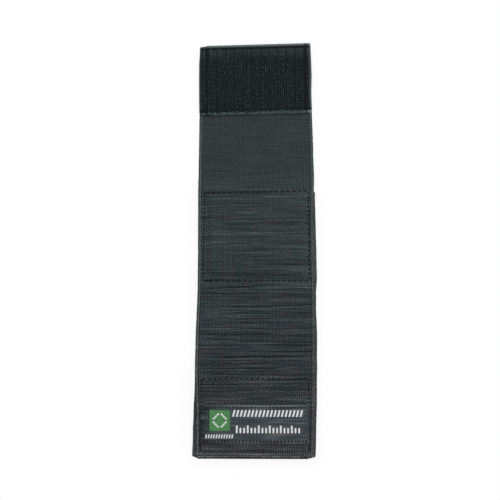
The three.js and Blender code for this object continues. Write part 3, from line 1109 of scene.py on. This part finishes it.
    def creased(self, x: float, station: float) -> Relief:
        """Adds up the creases near a place.

        Args:
            x: across the band.
            station: along it.

        Returns:
            The relief of the creases alone.
        """
        lift = shade = 0.0
        for c in self.near_creases:
            if abs(c.station - station) >= 5 or x < c.left - 4 or x > c.right + 4:
                continue
            away = station - c.station - c.climb * (x - (c.left + c.right) / 2) / 40
            away += 0.35 * grain(x / 9, c.station, 0)
            if abs(away) > 3.2:
                continue
            reach = ease((x - c.left + 4) / 6) * ease((c.right + 4 - x) / 6)
            reach *= 0.9 + 0.5 * grain(x / 18, c.station, 4.0)
            furrow = c.depth * bump(away, self.crease_width)
            ridge = c.ridge * bump(away - c.side * self.ridge_away, self.ridge_width)
            lift += reach * (ridge * self.ridge_height - furrow * self.crease_depth)
            # painted shade in each furrow, and painted highlight, partly rubbed yarn, on each ridge
            shade += reach * (0.28 * ridge - 0.95 * furrow)
        return Relief(lift, 0.0, shade)

    def front(self, a: float, x: float, station: float) -> tuple[float, float, float]:
        """Shapes the front layer: its creases, its swell over the magnets, and the painted highlight
        and shade at the fold's crest.

        Args:
            a: distance from the left edge.
            x: across the band.
            station: along it.

        Returns:
            Lift and shade without seams and selvedges, and the shade of the rim.
        """
        creased = self.creased(x, station)
        double = ease((self.double_stop - station) / 4)
        # the creases end at the selvedge
        inner = ease((min(a, self.width - a) - 1.5) / 1.8)
        lift = inner * creased.lift + 0.05 * double * grain(x / 24, station / 0.9, 0.5)
        lift += 0.05 * grain(x / 7, station / 7, 2.5)
        shade = inner * creased.shade + 0.22 * (0.2 + double) * grain(x / 24, station / 0.7, 7.5)
        # the magnets lift the pocket's panel
        near, far = self.swell_span
        inside = min(x - self.pocket_rows[0].start[0], self.pocket_rows[1].start[0] - x,
                     station - near, far - station) - 1.0
        lift += self.swell * ease(inside / self.swell_slope)
        # painted highlight and shade across the fold's crest
        if station < 5:
            shade += sum(tone * bump(station - at, wide) for at, wide, tone in self.crest)
        return lift, shade, -0.35

    def back(self, x: float, station: float) -> tuple[float, float, float]:
        """Shapes the returning layer, whose creases lie the other way round.

        Args:
            x: across the band.
            station: along it.

        Returns:
            The same as for the front layer.
        """
        creased = self.creased(-x, station)
        lift = min(0.4 * creased.lift, 0.02) - 0.04 * grain(x / 9, station, 1)
        shade = 0.7 * creased.shade
        # painted shade where the returning layer turns into the fold
        if station < 2:
            shade -= 0.9 * bump(station - 0.7, 0.6)
        # its edges are chafed: pale specks of pulled yarn
        return lift, shade, 0.3 + 1.6 * grain(x / 5, station / 1.4, 3.3)

    def relief(self, a: float, t: float) -> Relief:
        """The relief at a distance across and a place on the course.

        Args:
            a: distance from the left edge.
            t: place on the course.

        Returns:
            The creases and the seams' furrows with their painted shade and highlight, and the
            selvedges:
            each a round bead with a pale line of bound yarn and a groove darkened with painted
            shade.
        """
        station, x = self.course(t)[0], self.across(a, t)
        sewn = seam_relief(self.pocket_rows + self.loop_rows, x, station, self.seam_depth)
        lift, shade, rim = self.front(a, x, station) if t > 0 else self.back(x, station)
        lift = lift + sewn.lift if t > 0 else min(lift, 0.0)
        edge = min(a, self.width - a)
        lift += 0.06 * bump(edge - 1.0, 0.5) - 0.08 * bump(edge - 2.2, 0.35)
        # the pale line of bound yarn, and painted shade in the groove beside it
        shade += 0.55 * bump(edge - 1.25, 0.42) - 0.4 * bump(edge - 2.3, 0.32)
        return Relief(lift, sewn.pinch, shade + sewn.shade + rim * bump(edge, 0.5))

    def panel(self, name: str, start: float, end: float) -> Object:
        """Builds the strip's cloth between two places on its course.

        Args:
            name: the piece's name.
            start: place on the course.
            end: place on the course, further on.

        Returns:
            The panel, at the origin.
        """
        single = start > self.course_at(self.hook_side_joints[0] - 5)
        step = self.coarse if end < 0 else self.middling if single else self.fine
        low, high = sorted((self.course(start)[0], self.course(end)[0]))
        self.near_creases = [c for c in self.creases if low - 6 < c.station < high + 6]
        rows = evenly(start, end, step)
        if start < 0 < end:
            rows = (evenly(start, -self.turn, self.coarse)[:-1]
                    + evenly(-self.turn, self.turn, self.finest)
                    + evenly(self.turn, end, step)[1:])
        columns = bordered(self.width, self.thickness / 2, self.border, self.fine,
                           self.column_step)
        return Cloth(name, columns, rows, self.thickness, self.relief, self.place,
                     self.finishes.elastic).build()

    def lay(self, name: str, layer: Layer, ends: tuple[float, float], bodies: list[str],
            nodes: list[str]) -> None:
        """Args:
            name: the piece's name.
            layer: that it lies in. A front panel whose first station is negative starts in
                the returning layer.
            ends: stations where it starts and ends.
            bodies: the one that it moves with, or two, when it is attached to neither.
            nodes: the CAD nodes that it stands for.
        """
        start, end = ends
        first = self.course_at(-start, Layer.BACK) if start < 0 else self.course_at(start, layer)
        piece = self.panel(name, *sorted((first, self.course_at(end, layer))))
        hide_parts(*nodes)
        if len(bodies) == 1:
            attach(piece, bodies[0])
        else:
            # with two bodies, the joint line nearest its middle and the cloth's height there are
            # found but not used, and the piece is attached to neither body
            joint = min(self.label_side_joints + self.hook_side_joints,
                        key=lambda station: abs(station - (start + end) / 2))
            z = self.middle(joint, layer)
            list(bodies)
            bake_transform(piece)
        report(piece)

    def bending_run(self, word: str, layer: Layer, ends: tuple[float, float],
                    joints: tuple[float, ...], bodies: list[str], rests: str) -> None:
        """Builds the panels of one layer that lie across the joint lines, one across each.

        Args:
            word: that the names of the panels and of their CAD nodes start with.
            layer: which layer the panels are in.
            ends: stations where the run starts and ends.
            joints: stations of the joint lines.
            bodies: from the label's side on, one more than there are joints.
            rests: what each of them lies on, with room for the panel's number; not used.
        """
        limits = [ends[0], *[(a + b) / 2 for a, b in zip(joints, joints[1:])], ends[1]]
        for k in range(len(joints)):
            pair = bodies[k:k + 2]
            nodes = [f"{word}_layer_{body[-1]}" for body in pair if "stretch" in body]
            self.lay(f"{word}_cloth_{k + 1}", layer, (limits[k], limits[k + 1]), pair, nodes)

    def build(self) -> None:
        """Builds every panel, from the folded end to the hook end, layer by layer."""
        label, pocket, stop = self.label_stop, self.pocket_start, self.pocket_stop
        self.lay("label_end_cloth", Layer.FRONT, (-label, label), ["label_end"],
                 ["folded_label_end"])
        doubles = ["label_end", *[f"double_stretch_{n}" for n in (4, 3, 2, 1)], "magnet_pocket"]
        singles = ["magnet_pocket", *[f"single_stretch_{n}" for n in (1, 2, 3, 4)], "hook_end"]
        for word, layer, rests in (("front", Layer.FRONT, "back_cloth_{}"),
                                   ("back", Layer.BACK, "floor")):
            self.bending_run(word, layer, (label, pocket), self.label_side_joints, doubles, rests)
        self.lay("pocket_front_cloth", Layer.FRONT, (pocket, stop), ["magnet_pocket"],
                 ["pocket_front_panel"])
        self.lay("pocket_back_cloth", Layer.BACK, (pocket, self.back_stop), ["magnet_pocket"],
                 ["pocket_back_panel"])
        self.bending_run("single", Layer.FRONT, (stop, self.hook_start), self.hook_side_joints,
                         singles, "floor")
        self.lay("hook_end_cloth", Layer.FRONT, (self.hook_start, self.hook_stop), ["hook_end"],
                 ["elastic_hook_end"])

    def sew(self) -> None:
        """Lays the threads that are sewn into the band itself."""
        tack = Row((-33.6, 111.9), (-27.9, 111.8), 1.1, 1.9)
        corner = Row((-34.5, 171.3), (-25.5, 171.5), 0.9, 2.2)
        knot = Row((-34.3, 12.2), (-34.2, 7.6), 1.1, 1.5)
        for seam in (
            Seam("pocket_upper_stitches", "pocket_seam_thread", "magnet_pocket",
                 self.pocket_rows + [tack, corner], 3.02, 1, 0.2),
            Seam("pocket_lower_stitches", "pocket_under_thread", "magnet_pocket",
                 self.pocket_rows, 0.14, -1, 0.0),
            Seam("loop_tape_upper_stitches", "loop_patch_seam_thread", "label_end",
                 self.loop_rows + [knot], 5.12, 1, 0.2),
            Seam("loop_tape_lower_stitches", "loop_patch_under_thread", "label_end",
                 self.loop_rows, 0.3, -1, 0.0),
            Seam("hook_tape_lower_stitches", "hook_patch_under_thread", "hook_end",
                 self.hook_rows, 0.14, -1, 0.0),
        ):
            seam.build(self.finishes.thread)


# Hook patch


@dataclass
class HookPatch:
    """Hook tape sewn on top of the hook end: a ribbed ground and columns of hooks."""

    band: ElasticBand
    near: float = 227.3
    far: float = 278.9
    under: float = 1.5
    thickness: float = 0.8
    corner: float = 2.4
    flat: tuple[float, float] = (75.4, 50.1)
    hook_height: float = 1.2
    hook_gauge: float = 0.19
    curl: float = 0.3
    column_pitch: float = 1.4
    group: int = 4
    groups: int = 13
    group_pitch: float = 6.0
    row_pitch: float = 1.5
    near_bare: float = 2.5  # the borders without hooks
    far_bare: float = 3.7
    # how far hooks stray across, along and in heading, and how their size varies
    standing: tuple = ((-0.13, 0.13), (-0.15, 0.15), (-0.5, 0.5), (0.86, 1.06))
    loose: tuple = ((-0.6, 0.6), (-0.8, 0.4), (-1.2, 1.2), (0.9, 1.4))

    @cached_property
    def columns(self) -> list[float]:
        """Places the columns of hooks, in groups of four.

        Returns:
            Where they lie across, as far as the tape's bare borders.
        """
        places = [
            (g - (self.groups - 1) / 2) * self.group_pitch
            + (c - (self.group - 1) / 2) * self.column_pitch
            for g in range(self.groups) for c in range(self.group)]
        return [x for x in places if abs(x) < self.band.width / 2 - 1.0]

    def across(self, a: float, station: float) -> float:
        """Finds a place across the tape.

        Args:
            a: distance from the left edge.
            station: along the tape.

        Returns:
            The place across, between edges drawn in at three corners.
        """
        past, rest = station - self.near, self.far - station
        left = along_table(self.band.front_left, station) - 0.15
        left += 1.4 * self.corner * (1 - ease(past / self.corner)) + 5.0 * (1 - ease(rest / 1.3))
        right = along_table(self.band.front_right, station) + 0.1 - 0.9 * (1 - ease(past / 1.2))
        return left + (right - left) * a / self.band.width

    def place(self, a: float, station: float, height: float) -> Vector:
        """The point of the tape's ground at a distance across, a station and a height."""
        x = self.across(a, station)
        return to_frame(x, station + self.band.skew * x, self.under + self.thickness / 2 + height)

    def relief(self, a: float, station: float) -> Relief:
        """Shapes the ground.

        Args:
            a: distance from the left edge.
            station: along the tape.

        Returns:
            The seam's furrow, the bare, bound borders and painted shade in the gaps between the
            hooks' columns.
        """
        x = self.across(a, station)
        seam = self.band.hook_rows
        sewn = seam_relief(seam, x, station + self.band.skew * x, 0.2)
        past, rest = station - self.near, self.far - station
        bound = 0.35 + 0.35 * ease((a - 6) / 3) + 0.5 * grain(x / 2, 1, 0)
        shade = sewn.shade + bound * bump(past - 1.0, 0.95) - 0.5 * bump(past - 3.2, 0.8)
        shade += (0.9 + 0.3 * grain(x / 3, 2, 0)) * bump(rest - 0.7, 0.8)
        shade -= (0.4 + 0.6 * grain(x / 3, 5, 0)) * bump(rest - 2.9, 0.8)
        ragged = 0.4 + 0.6 * grain(x, station / 1.5, 6)
        shade -= ragged * bump(abs(x) - seam[1].start[0], 0.9)
        edge = min(a, self.band.width - a)
        shade += (0.2 if x < 0 else 0.5) * bump(edge - 0.4, 1.1)
        if past > 2.2 and rest > 2.4 and edge > 1.2:
            # painted shade in the gaps between the hooks' columns
            shade -= ease((min(abs(x - c) for c in self.columns) - 0.6) / 0.3)
            shade += 0.6 * self.dust(station)
        thin = 0.18 * (bump(past, 0.9) + bump(rest, 0.9))
        lift = 0.1 * (bump(past - 0.9, 0.6) + bump(rest - 0.9, 0.6)) - thin
        return Relief(lift, sewn.pinch + thin, shade)

    def dust(self, station: float) -> float:
        """How dusty the hooks are: only towards the far end, which is held to open the band."""
        return 0.24 * ease((station - self.far + 13) / 9)

    def hook(self) -> Mesh:
        """Shapes one hook.

        Returns:
            The hook at the origin, standing up and curling along Y.
        """
        mesh = bmesh.new()
        bmesh.ops.create_circle(mesh, segments=5, radius=self.hook_gauge)
        stem = self.hook_height - self.curl - self.hook_gauge
        rim = bmesh.ops.extrude_edge_only(mesh, edges=mesh.edges[:])["geom"]
        tops = [g for g in rim if isinstance(g, BMVert)]
        bmesh.ops.translate(mesh, verts=tops, vec=(0, 0, stem))
        ring = [g for g in rim
                if isinstance(g, BMEdge) and all(v in tops for v in g.verts)]
        bmesh.ops.spin(mesh, geom=tops + ring, cent=(0, self.curl, stem), axis=(1, 0, 0),
                       angle=-math.radians(200), steps=4)
        return capped("hook", mesh)

    def spots(self) -> Iterable[Spot]:
        """Scatters the hooks along their columns.

        Yields:
            Where each hook stands.
        """
        chance, leans = random.Random(11), random.Random(5)
        near, stop = self.near + self.near_bare, self.far - self.far_bare
        seam = self.band.hook_rows[1].start[0]

        def spot(x: float, y: float, heading: float, strays: tuple) -> Spot:
            """A hook that strays from its place by chance.

            Args:
                x: across the band.
                y: along it, at the middle line.
                heading: of its curl.
                strays: limits of what is random.

            Returns:
                Where the hook stands.
            """
            aside, along, twist, size = (chance.uniform(*limits) for limits in strays)
            return Spot(x + aside, y + self.band.skew * x + along, heading + twist, size,
                        (leans.uniform(-0.22, 0.22), leans.uniform(-0.2, 0.2)))

        for number, x in enumerate(self.columns):
            odd, outside = number % 2, abs(x) > seam - 0.4
            # the side seams pull down most of the hooks that they cross
            bare = 0.8 if abs(abs(x) - seam) < 0.5 else 0.04
            y = near + (2.2 if outside else 0) + 0.5 * self.row_pitch * odd
            while y < stop:
                if chance.random() > bare:
                    yield spot(x, y, 0 if odd else math.pi, self.standing)
                y += self.row_pitch
            # the cut end's loose hooks lean out over the bare border
            for _ in range(0 if outside else 3):
                yield spot(x, near - 0.7, math.pi, self.loose)

    def build(self) -> None:
        """Builds the ground, its hooks and the seam on top."""
        finishes = self.band.finishes
        rows = (evenly(self.near + 0.05, self.near + 4, 0.35)[:-1]
                + evenly(self.near + 4, self.far - 5, 0.9)
                + evenly(self.far - 5, self.far, 0.35)[1:])
        ground = Cloth("hook_tape_cloth", evenly(0.45, self.band.width - 0.45, 0.35), rows,
                       self.thickness, self.relief, self.place, finishes.hook_ground).build()
        settle(ground, "hook_patch", "hook_end")
        top = self.under + self.thickness
        shape, mesh = self.hook(), bmesh.new()
        for spot in self.spots():
            stamp(mesh, shape, spot, lambda x, y, z: top - 0.12 + z * spot.size)
        bpy.data.meshes.remove(shape)
        shade = mesh.verts.layers.float.new("shade")
        for vert in mesh.verts:
            vert[shade] = self.dust(vert.co.y / MM + HALF_LENGTH)
        hooks = smoothed("tape_hooks", mesh, finishes.hook)
        settle(hooks, "hook_patch", "hook_end")
        Seam("hook_tape_upper_stitches", "hook_patch_seam_thread", "hook_end",
             self.band.hook_rows, top - 0.04).build(finishes.thread)


# Loop patch


@dataclass
class LoopPatch:
    """Loop tape sewn under the label end: a ground with a pile of brushed loops beneath."""

    band: ElasticBand
    left: float = -36.7
    right: float = 36.7
    near: float = 3.0
    far: float = 50.0
    top: float = 1.8
    thickness: float = 1.1
    loop_gauge: float = 0.1
    loop_radius: float = 0.42
    pile_pitch: float = 1.2
    stray: float = 0.6  # of a loop from its place
    margin: float = 0.9  # without loops, at the edges and beside the seam
    seam_margin: float = 0.6

    def place(self, a: float, station: float, height: float) -> Vector:
        """The point of the ground; its outer face looks down."""
        return to_frame(self.right - a, station, self.top - self.thickness / 2 - height)

    def relief(self, a: float, station: float) -> Relief:
        """Shapes the ground.

        Args:
            a: distance from the right edge.
            station: along the tape.

        Returns:
            The seam's furrow and the bound edges.
        """
        x = self.right - a
        sewn = seam_relief(self.band.loop_rows, x, station, 0.3)
        edge = min(a, x - self.left, station - self.near, self.far - station)
        return Relief(0.03 * grain(x, station, 0), sewn.pinch,
                      sewn.shade + 0.35 * bump(edge - 0.6, 0.5))

    def loop(self) -> Mesh:
        """Shapes one loop of the pile.

        Returns:
            The loop, hanging from the origin.
        """
        mesh = bmesh.new()
        bmesh.ops.create_circle(mesh, segments=4, radius=self.loop_gauge)
        bmesh.ops.spin(mesh, geom=mesh.verts[:] + mesh.edges[:], cent=(0, self.loop_radius, 0),
                       axis=(1, 0, 0), angle=math.pi, steps=6)
        bmesh.ops.translate(mesh, verts=mesh.verts[:], vec=(0, -self.loop_radius, 0))
        return capped("loop", mesh)

    def build(self) -> None:
        """Builds the ground and the pile."""
        wide = self.right - self.left
        ground = Cloth("loop_tape_cloth", bordered(wide, self.thickness / 2, 4, 0.5, 1.4),
                       evenly(self.near, self.far, 0.7), self.thickness, self.relief,
                       self.place, self.band.finishes.loop_ground).build()
        settle(ground, "loop_patch", "label_end")
        shape, mesh = self.loop(), bmesh.new()
        chance = random.Random(3)
        foot = self.top - self.thickness + 0.08
        edge, stray = self.margin, self.stray
        for x in evenly(self.left + edge, self.right - edge, self.pile_pitch):
            for y in evenly(self.near + edge, self.far - edge, self.pile_pitch):
                if min(row.beside(x, y)[0] for row in self.band.loop_rows) < self.seam_margin:
                    continue
                heading, size = chance.uniform(0, math.pi), chance.uniform(0.85, 1.15)
                spot = Spot(x + chance.uniform(-stray, stray), y + chance.uniform(-stray, stray),
                            heading, size, (chance.uniform(-0.5, 0.5),) * 2)
                stamp(mesh, shape, spot, lambda x, y, z: foot + z * spot.size)
        bpy.data.meshes.remove(shape)
        pile = smoothed("tape_loop_pile", mesh, self.band.finishes.pile)
        settle(pile, "loop_patch", "label_end")


# Label


@dataclass
class Label:
    """Woven label: a satin ground, a green twill square and rows of plain white bars."""

    band: ElasticBand
    left: float = -34.2
    right: float = 33.6
    near: float = 9.4
    far: float = 32.9
    under: float = 5.42
    thickness: float = 0.8
    square_left: float = -28.6
    square_far: float = 29.6
    square_size: float = 12.7
    bar_height: float = 0.24
    bar_bevel: float = 0.09
    ring_radius: float = 3.5
    stroke_pitch: float = 1.75
    near_row: Row = Row((-33.0, 10.6), (32.6, 10.5), 1.15, 2.2)
    far_row: Row = Row((-33.0, 31.3), (32.6, 31.1), 0.85, 2.3)

    @property
    def top(self) -> float:
        """The height of its upper face."""
        return self.under + self.thickness

    def place(self, a: float, station: float, height: float) -> Vector:
        """The point of the label's ground."""
        return to_frame(self.left + a, station, self.under + self.thickness / 2 + height)

    def relief(self, a: float, station: float) -> Relief:
        """Shapes the label's ground.

        Args:
            a: distance from the left edge.
            station: along the label.

        Returns:
            The furrows of its two rows, a slight cockle and painted shade for the folds that the
            seam pulls.
        """
        x = self.left + a
        sewn = seam_relief([self.near_row, self.far_row], x, station, 0.3)
        # the patch's seam beside it draws it in folds at the left, which are drawn only as painted
        # shade in streaks
        pulled = 1 - ease(a / 9)
        shade = sewn.shade - pulled * (0.6 + 1.1 * grain(x / 7, station / 1.1, 3.5))
        shade += 0.4 * grain(x / 14, station / 0.7, 5.5)
        edge = min(station - self.near, self.far - station)
        thin = 0.3 * bump(min(edge, a, self.right - x), 0.8)
        shade += 0.16 * bump(edge - 0.5, 0.9) - 0.3 * bump(self.right - x, 1.2)
        lift = sewn.lift + 0.1 * grain(x / 6, station / 5, 1.5) - 0.5 * thin
        return Relief(lift, sewn.pinch + thin, shade)

    def bar(self, wide: float, long: float, slant: float) -> Mesh:
        """One raised bar of floating yarn.

        Args:
            wide: its width.
            long: its length.
            slant: how far to the right its far end leans.

        Returns:
            The bar, at the origin.
        """
        mesh = bmesh.new()
        bmesh.ops.create_cube(mesh, size=1)
        bmesh.ops.scale(mesh, verts=mesh.verts[:], vec=(wide, long, self.bar_height))
        bmesh.ops.bevel(mesh, geom=mesh.edges[:], offset=self.bar_bevel, offset_type="OFFSET",
                        segments=2, profile=0.5, affect="EDGES", material=-1)
        for vert in mesh.verts:
            vert.co.x += slant * vert.co.y / long
        return to_data("bar", mesh)

    def bars(self) -> list[tuple[Spot, float, float, float]]:
        """Places the white bars.

        Returns:
            The middle, width, length and slant of each.
        """
        made = [(Spot(-13.5 + 2.34 * k, 27.6), 1.2, 4.1, 1.1) for k in range(19)]
        for k in range(18):
            middle, long = (17.2, 3.2) if k % 3 else (17.9, 4.6)
            made.append((Spot(-11.6 + 2.28 * k, middle), 1.15, long, 0.0))
        made += [(Spot(-30.6 + 1.62 * k, 13.6), 0.85, 2.4, 0.5) for k in range(11)]
        # a ring of short strokes on the square, three to a side
        x, y = self.square_left + self.square_size / 2, self.square_far - self.square_size / 2
        for quarter in range(4):
            turn = math.radians(45 + 90 * quarter)
            cos, sin = math.cos(turn), math.sin(turn)
            for k in (-1, 0, 1):
                out, aside = self.ring_radius, k * self.stroke_pitch
                spot = Spot(x + out * cos - aside * sin, y + out * sin + aside * cos, turn)
                made.append((spot, 0.95, 1.5, 0.0))
        return made

    def build(self) -> None:
        """Builds the ground, the square, the bars and the two rows of stitches."""
        finishes, wide, size = self.band.finishes, self.right - self.left, self.square_size
        ground = Cloth("label_cloth", evenly(0.4, wide - 0.4, 0.75),
                       evenly(self.near + 0.05, self.far - 0.05, 0.5), self.thickness,
                       self.relief, self.place, finishes.label).build()
        settle(ground, "woven_label", "label_end")

        def above(x: float, y: float, height: float) -> float:
            """The height of a point over the label's cockled face."""
            return self.top + self.relief(x - self.left, y).lift + height

        def on_square(a: float, y: float, height: float) -> Vector:
            """The point of the square at a distance from its left edge."""
            x = self.square_left + a
            return to_frame(x, y, above(x, y, height + 0.02))

        square = Cloth("label_green_square", evenly(0.1, size - 0.1, 0.8),
                       evenly(self.square_far - size, self.square_far, 0.8), 0.2,
                       lambda a, y: Relief(), on_square, finishes.green).build()
        mesh = bmesh.new()
        for spot, across, along, slant in self.bars():
            shape = self.bar(across, along, slant)
            stroke = spot.x < self.square_left + size and spot.station > self.square_far - size
            stamp(mesh, shape, spot, lambda x, y, z: above(x, y, z + 0.1 * stroke))
            bpy.data.meshes.remove(shape)
        bars = finished("label_white_bars", mesh, finishes.white)
        for piece in (square, bars):
            settle(piece, "woven_label", "label_end")
        for word, row in (("near", self.near_row), ("far", self.far_row)):
            Seam(f"label_{word}_stitches", f"label_{word}_row_thread", "label_end", [row],
                 self.top - 0.2).build(finishes.thread)


# Magnets and their carrier


@dataclass
class MagnetTray:
    """The felt carrier with its windows, and the magnets' plating."""

    finishes: Finishes
    columns: int = 4
    rows: int = 3
    radius: float = 6.25
    segments: int = 24
    weld: float = 0.02  # points of the cells closer than this are one

    def window_cell(self, wide: float, long: float) -> Mesh:
        """One oblong of felt with a round window.

        Args:
            wide: its width.
            long: its length.

        Returns:
            The flat oblong, at the origin.
        """
        mesh = bmesh.new()
        bmesh.ops.create_circle(mesh, segments=self.segments, radius=self.radius)
        outer = bmesh.ops.create_circle(mesh, segments=self.segments, radius=1.0)
        for vert in outer["verts"]:
            stretch = 2 * max(abs(vert.co.x), abs(vert.co.y))
            vert.co.x *= wide / stretch
            vert.co.y *= long / stretch
        bmesh.ops.bridge_loops(mesh, edges=mesh.edges[:])
        return to_data("cell", mesh)

    def build(self) -> None:
        """Builds the carrier over its CAD node and plates the magnets."""
        low, high = (Vector(corner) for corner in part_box("magnet_carrier"))
        wide, long, thick = (high - low) / MM
        cell = self.window_cell(wide / self.columns, long / self.rows)
        mesh = bmesh.new()
        for column in range(self.columns):
            for row in range(self.rows):
                first = len(mesh.verts)
                mesh.from_mesh(cell)
                mesh.verts.ensure_lookup_table()
                middle = ((column + 0.5) * wide / self.columns, (row + 0.5) * long / self.rows, 0)
                bmesh.ops.translate(mesh, verts=mesh.verts[first:], vec=low / MM + Vector(middle))
        bpy.data.meshes.remove(cell)
        bmesh.ops.remove_doubles(mesh, verts=mesh.verts[:], dist=self.weld)
        raised = bmesh.ops.extrude_face_region(mesh, geom=mesh.faces[:])["geom"]
        tops = [g for g in raised if isinstance(g, BMVert)]
        bmesh.ops.translate(mesh, verts=tops, vec=(0, 0, thick))
        bmesh.ops.scale(mesh, verts=mesh.verts[:], vec=(MM, MM, MM))
        bmesh.ops.recalc_face_normals(mesh, faces=mesh.faces[:])
        felt = finished("magnet_carrier_felt", mesh, self.finishes.felt)
        settle(felt, "magnet_carrier", "magnet_pocket")
        for number in range(1, self.columns * self.rows + 1):
            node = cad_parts[f"magnet_{number}"]
            for slot in node.material_slots:
                slot.material = self.finishes.nickel
            report(node)


# Studio


@dataclass
class Studio:
    """The floor, the light and the camera."""

    target: tuple[float, float] = (-4.33, -6.17)
    elevation: float = 77.98
    distance: float = 523.5
    picture: float = 500.0  # the picture's width in pixels
    focal: float = 793.87  # in the same pixels
    sensor: float = 36.0
    clip: tuple[float, float] = (0.02, 20.0)  # the nearest and furthest that it sees, in metres
    roll: float = 0.186
    world_light: float = 0.42
    lamp_power: float = 10.7
    lamp_size: float = 0.33
    lamp_place: tuple[float, float, float] = (0.6, 0.95, 1.1)  # in metres
    floor_half: float = 1.5  # half the floor's side, in metres
    floor_drop: float = 0.06
    shadow_reach: float = 14.0
    shadow_depth: float = 0.17
    shadow: str = "#20242a"

    def camera(self) -> None:
        """Sets the camera at the photograph's viewing angle."""
        tilt, roll = math.radians(self.elevation), math.radians(self.roll)
        back = Vector((0, -math.cos(tilt), math.sin(tilt)))
        right, up = Vector((1, 0, 0)), Vector((0, math.sin(tilt), math.cos(tilt)))
        data = bpy.data.cameras.new("camera")
        data.sensor_width = self.sensor
        data.lens = self.focal * self.sensor / self.picture
        data.clip_start, data.clip_end = self.clip
        camera = add_object("camera", data)
        axes = Matrix((right * math.cos(roll) + up * math.sin(roll),
                       up * math.cos(roll) - right * math.sin(roll), back)).transposed()
        place = (Vector((*self.target, 0)) + back * self.distance) * MM
        camera.matrix_world = Matrix.Translation(place) @ axes.to_4x4()
        bpy.context.scene.camera = camera

    def floor(self) -> None:
        """Lays a clear floor that shows white and paints the shadow of what lies on it, from ambient
        occlusion.
        """
        mesh = bmesh.new()
        bmesh.ops.create_grid(mesh, x_segments=1, y_segments=1, size=self.floor_half)
        bmesh.ops.translate(mesh, verts=mesh.verts[:], vec=(0, 0, -self.floor_drop * MM))
        material = bpy.data.materials.new("white glass floor")
        tree = fresh_tree(material)
        hidden = add_node(tree, "AmbientOcclusion", {"Distance": self.shadow_reach * MM},
                          samples=8)
        depth = add_node(tree, "MapRange", {
            0: hidden.outputs["AO"], "From Min": 1.0, "From Max": 0.0,
            "To Max": self.shadow_depth})
        seen = add_node(tree, "Math", {
            0: depth, 1: add_node(tree, "LightPath").outputs["Is Camera Ray"]},
            operation="MULTIPLY")
        clear = add_node(tree, "BsdfTransparent")
        shade = add_node(tree, "Emission", {"Color": self.shadow})
        mixed = add_node(tree, "MixShader", {0: seen, 1: clear, 2: shade})
        add_node(tree, "OutputMaterial", {"Surface": mixed})
        finished("floor", mesh, material)

    def light(self) -> None:
        """Sets a white world and one large soft lamp."""
        world = bpy.data.worlds.new("studio")
        bpy.context.scene.world = world
        tree = fresh_tree(world)
        rays = add_node(tree, "LightPath")
        seen = rays.outputs["Is Camera Ray"]
        for kind in ("Is Glossy Ray", "Is Transmission Ray"):
            seen = add_node(tree, "Math", {0: seen, 1: rays.outputs[kind]},
                            operation="MAXIMUM").outputs[0]
        soft, white = (add_node(tree, "Background", {"Color": (1, 1, 1, 1), "Strength": strength})
                       for strength in (self.world_light, 1.0))
        mixed = add_node(tree, "MixShader", {0: seen, 1: soft, 2: white})
        add_node(tree, "OutputWorld", {"Surface": mixed})
        data = bpy.data.lights.new("lamp", "AREA")
        data.energy, data.size = self.lamp_power, self.lamp_size
        away = Vector(self.lamp_place)
        turned = away.to_track_quat("Z", "Y").to_matrix().to_4x4()
        add_object("lamp", data).matrix_world = Matrix.Translation(away) @ turned

    def build(self) -> None:
        """Sets up the camera, the floor and the light."""
        bpy.context.scene.view_settings.view_transform = "Standard"
        self.camera()
        self.floor()
        self.light()


def main() -> None:
    """Builds the wristband, sub-assembly by sub-assembly, and reports each piece."""
    logging.basicConfig(level=logging.INFO, format="%(name)s %(message)s")
    Studio().build()
    band = ElasticBand(Finishes())
    band.build()
    band.sew()
    HookPatch(band).build()
    LoopPatch(band).build()
    Label(band).build()
    MagnetTray(band.finishes).build()


if __name__ == "__main__":
    main()
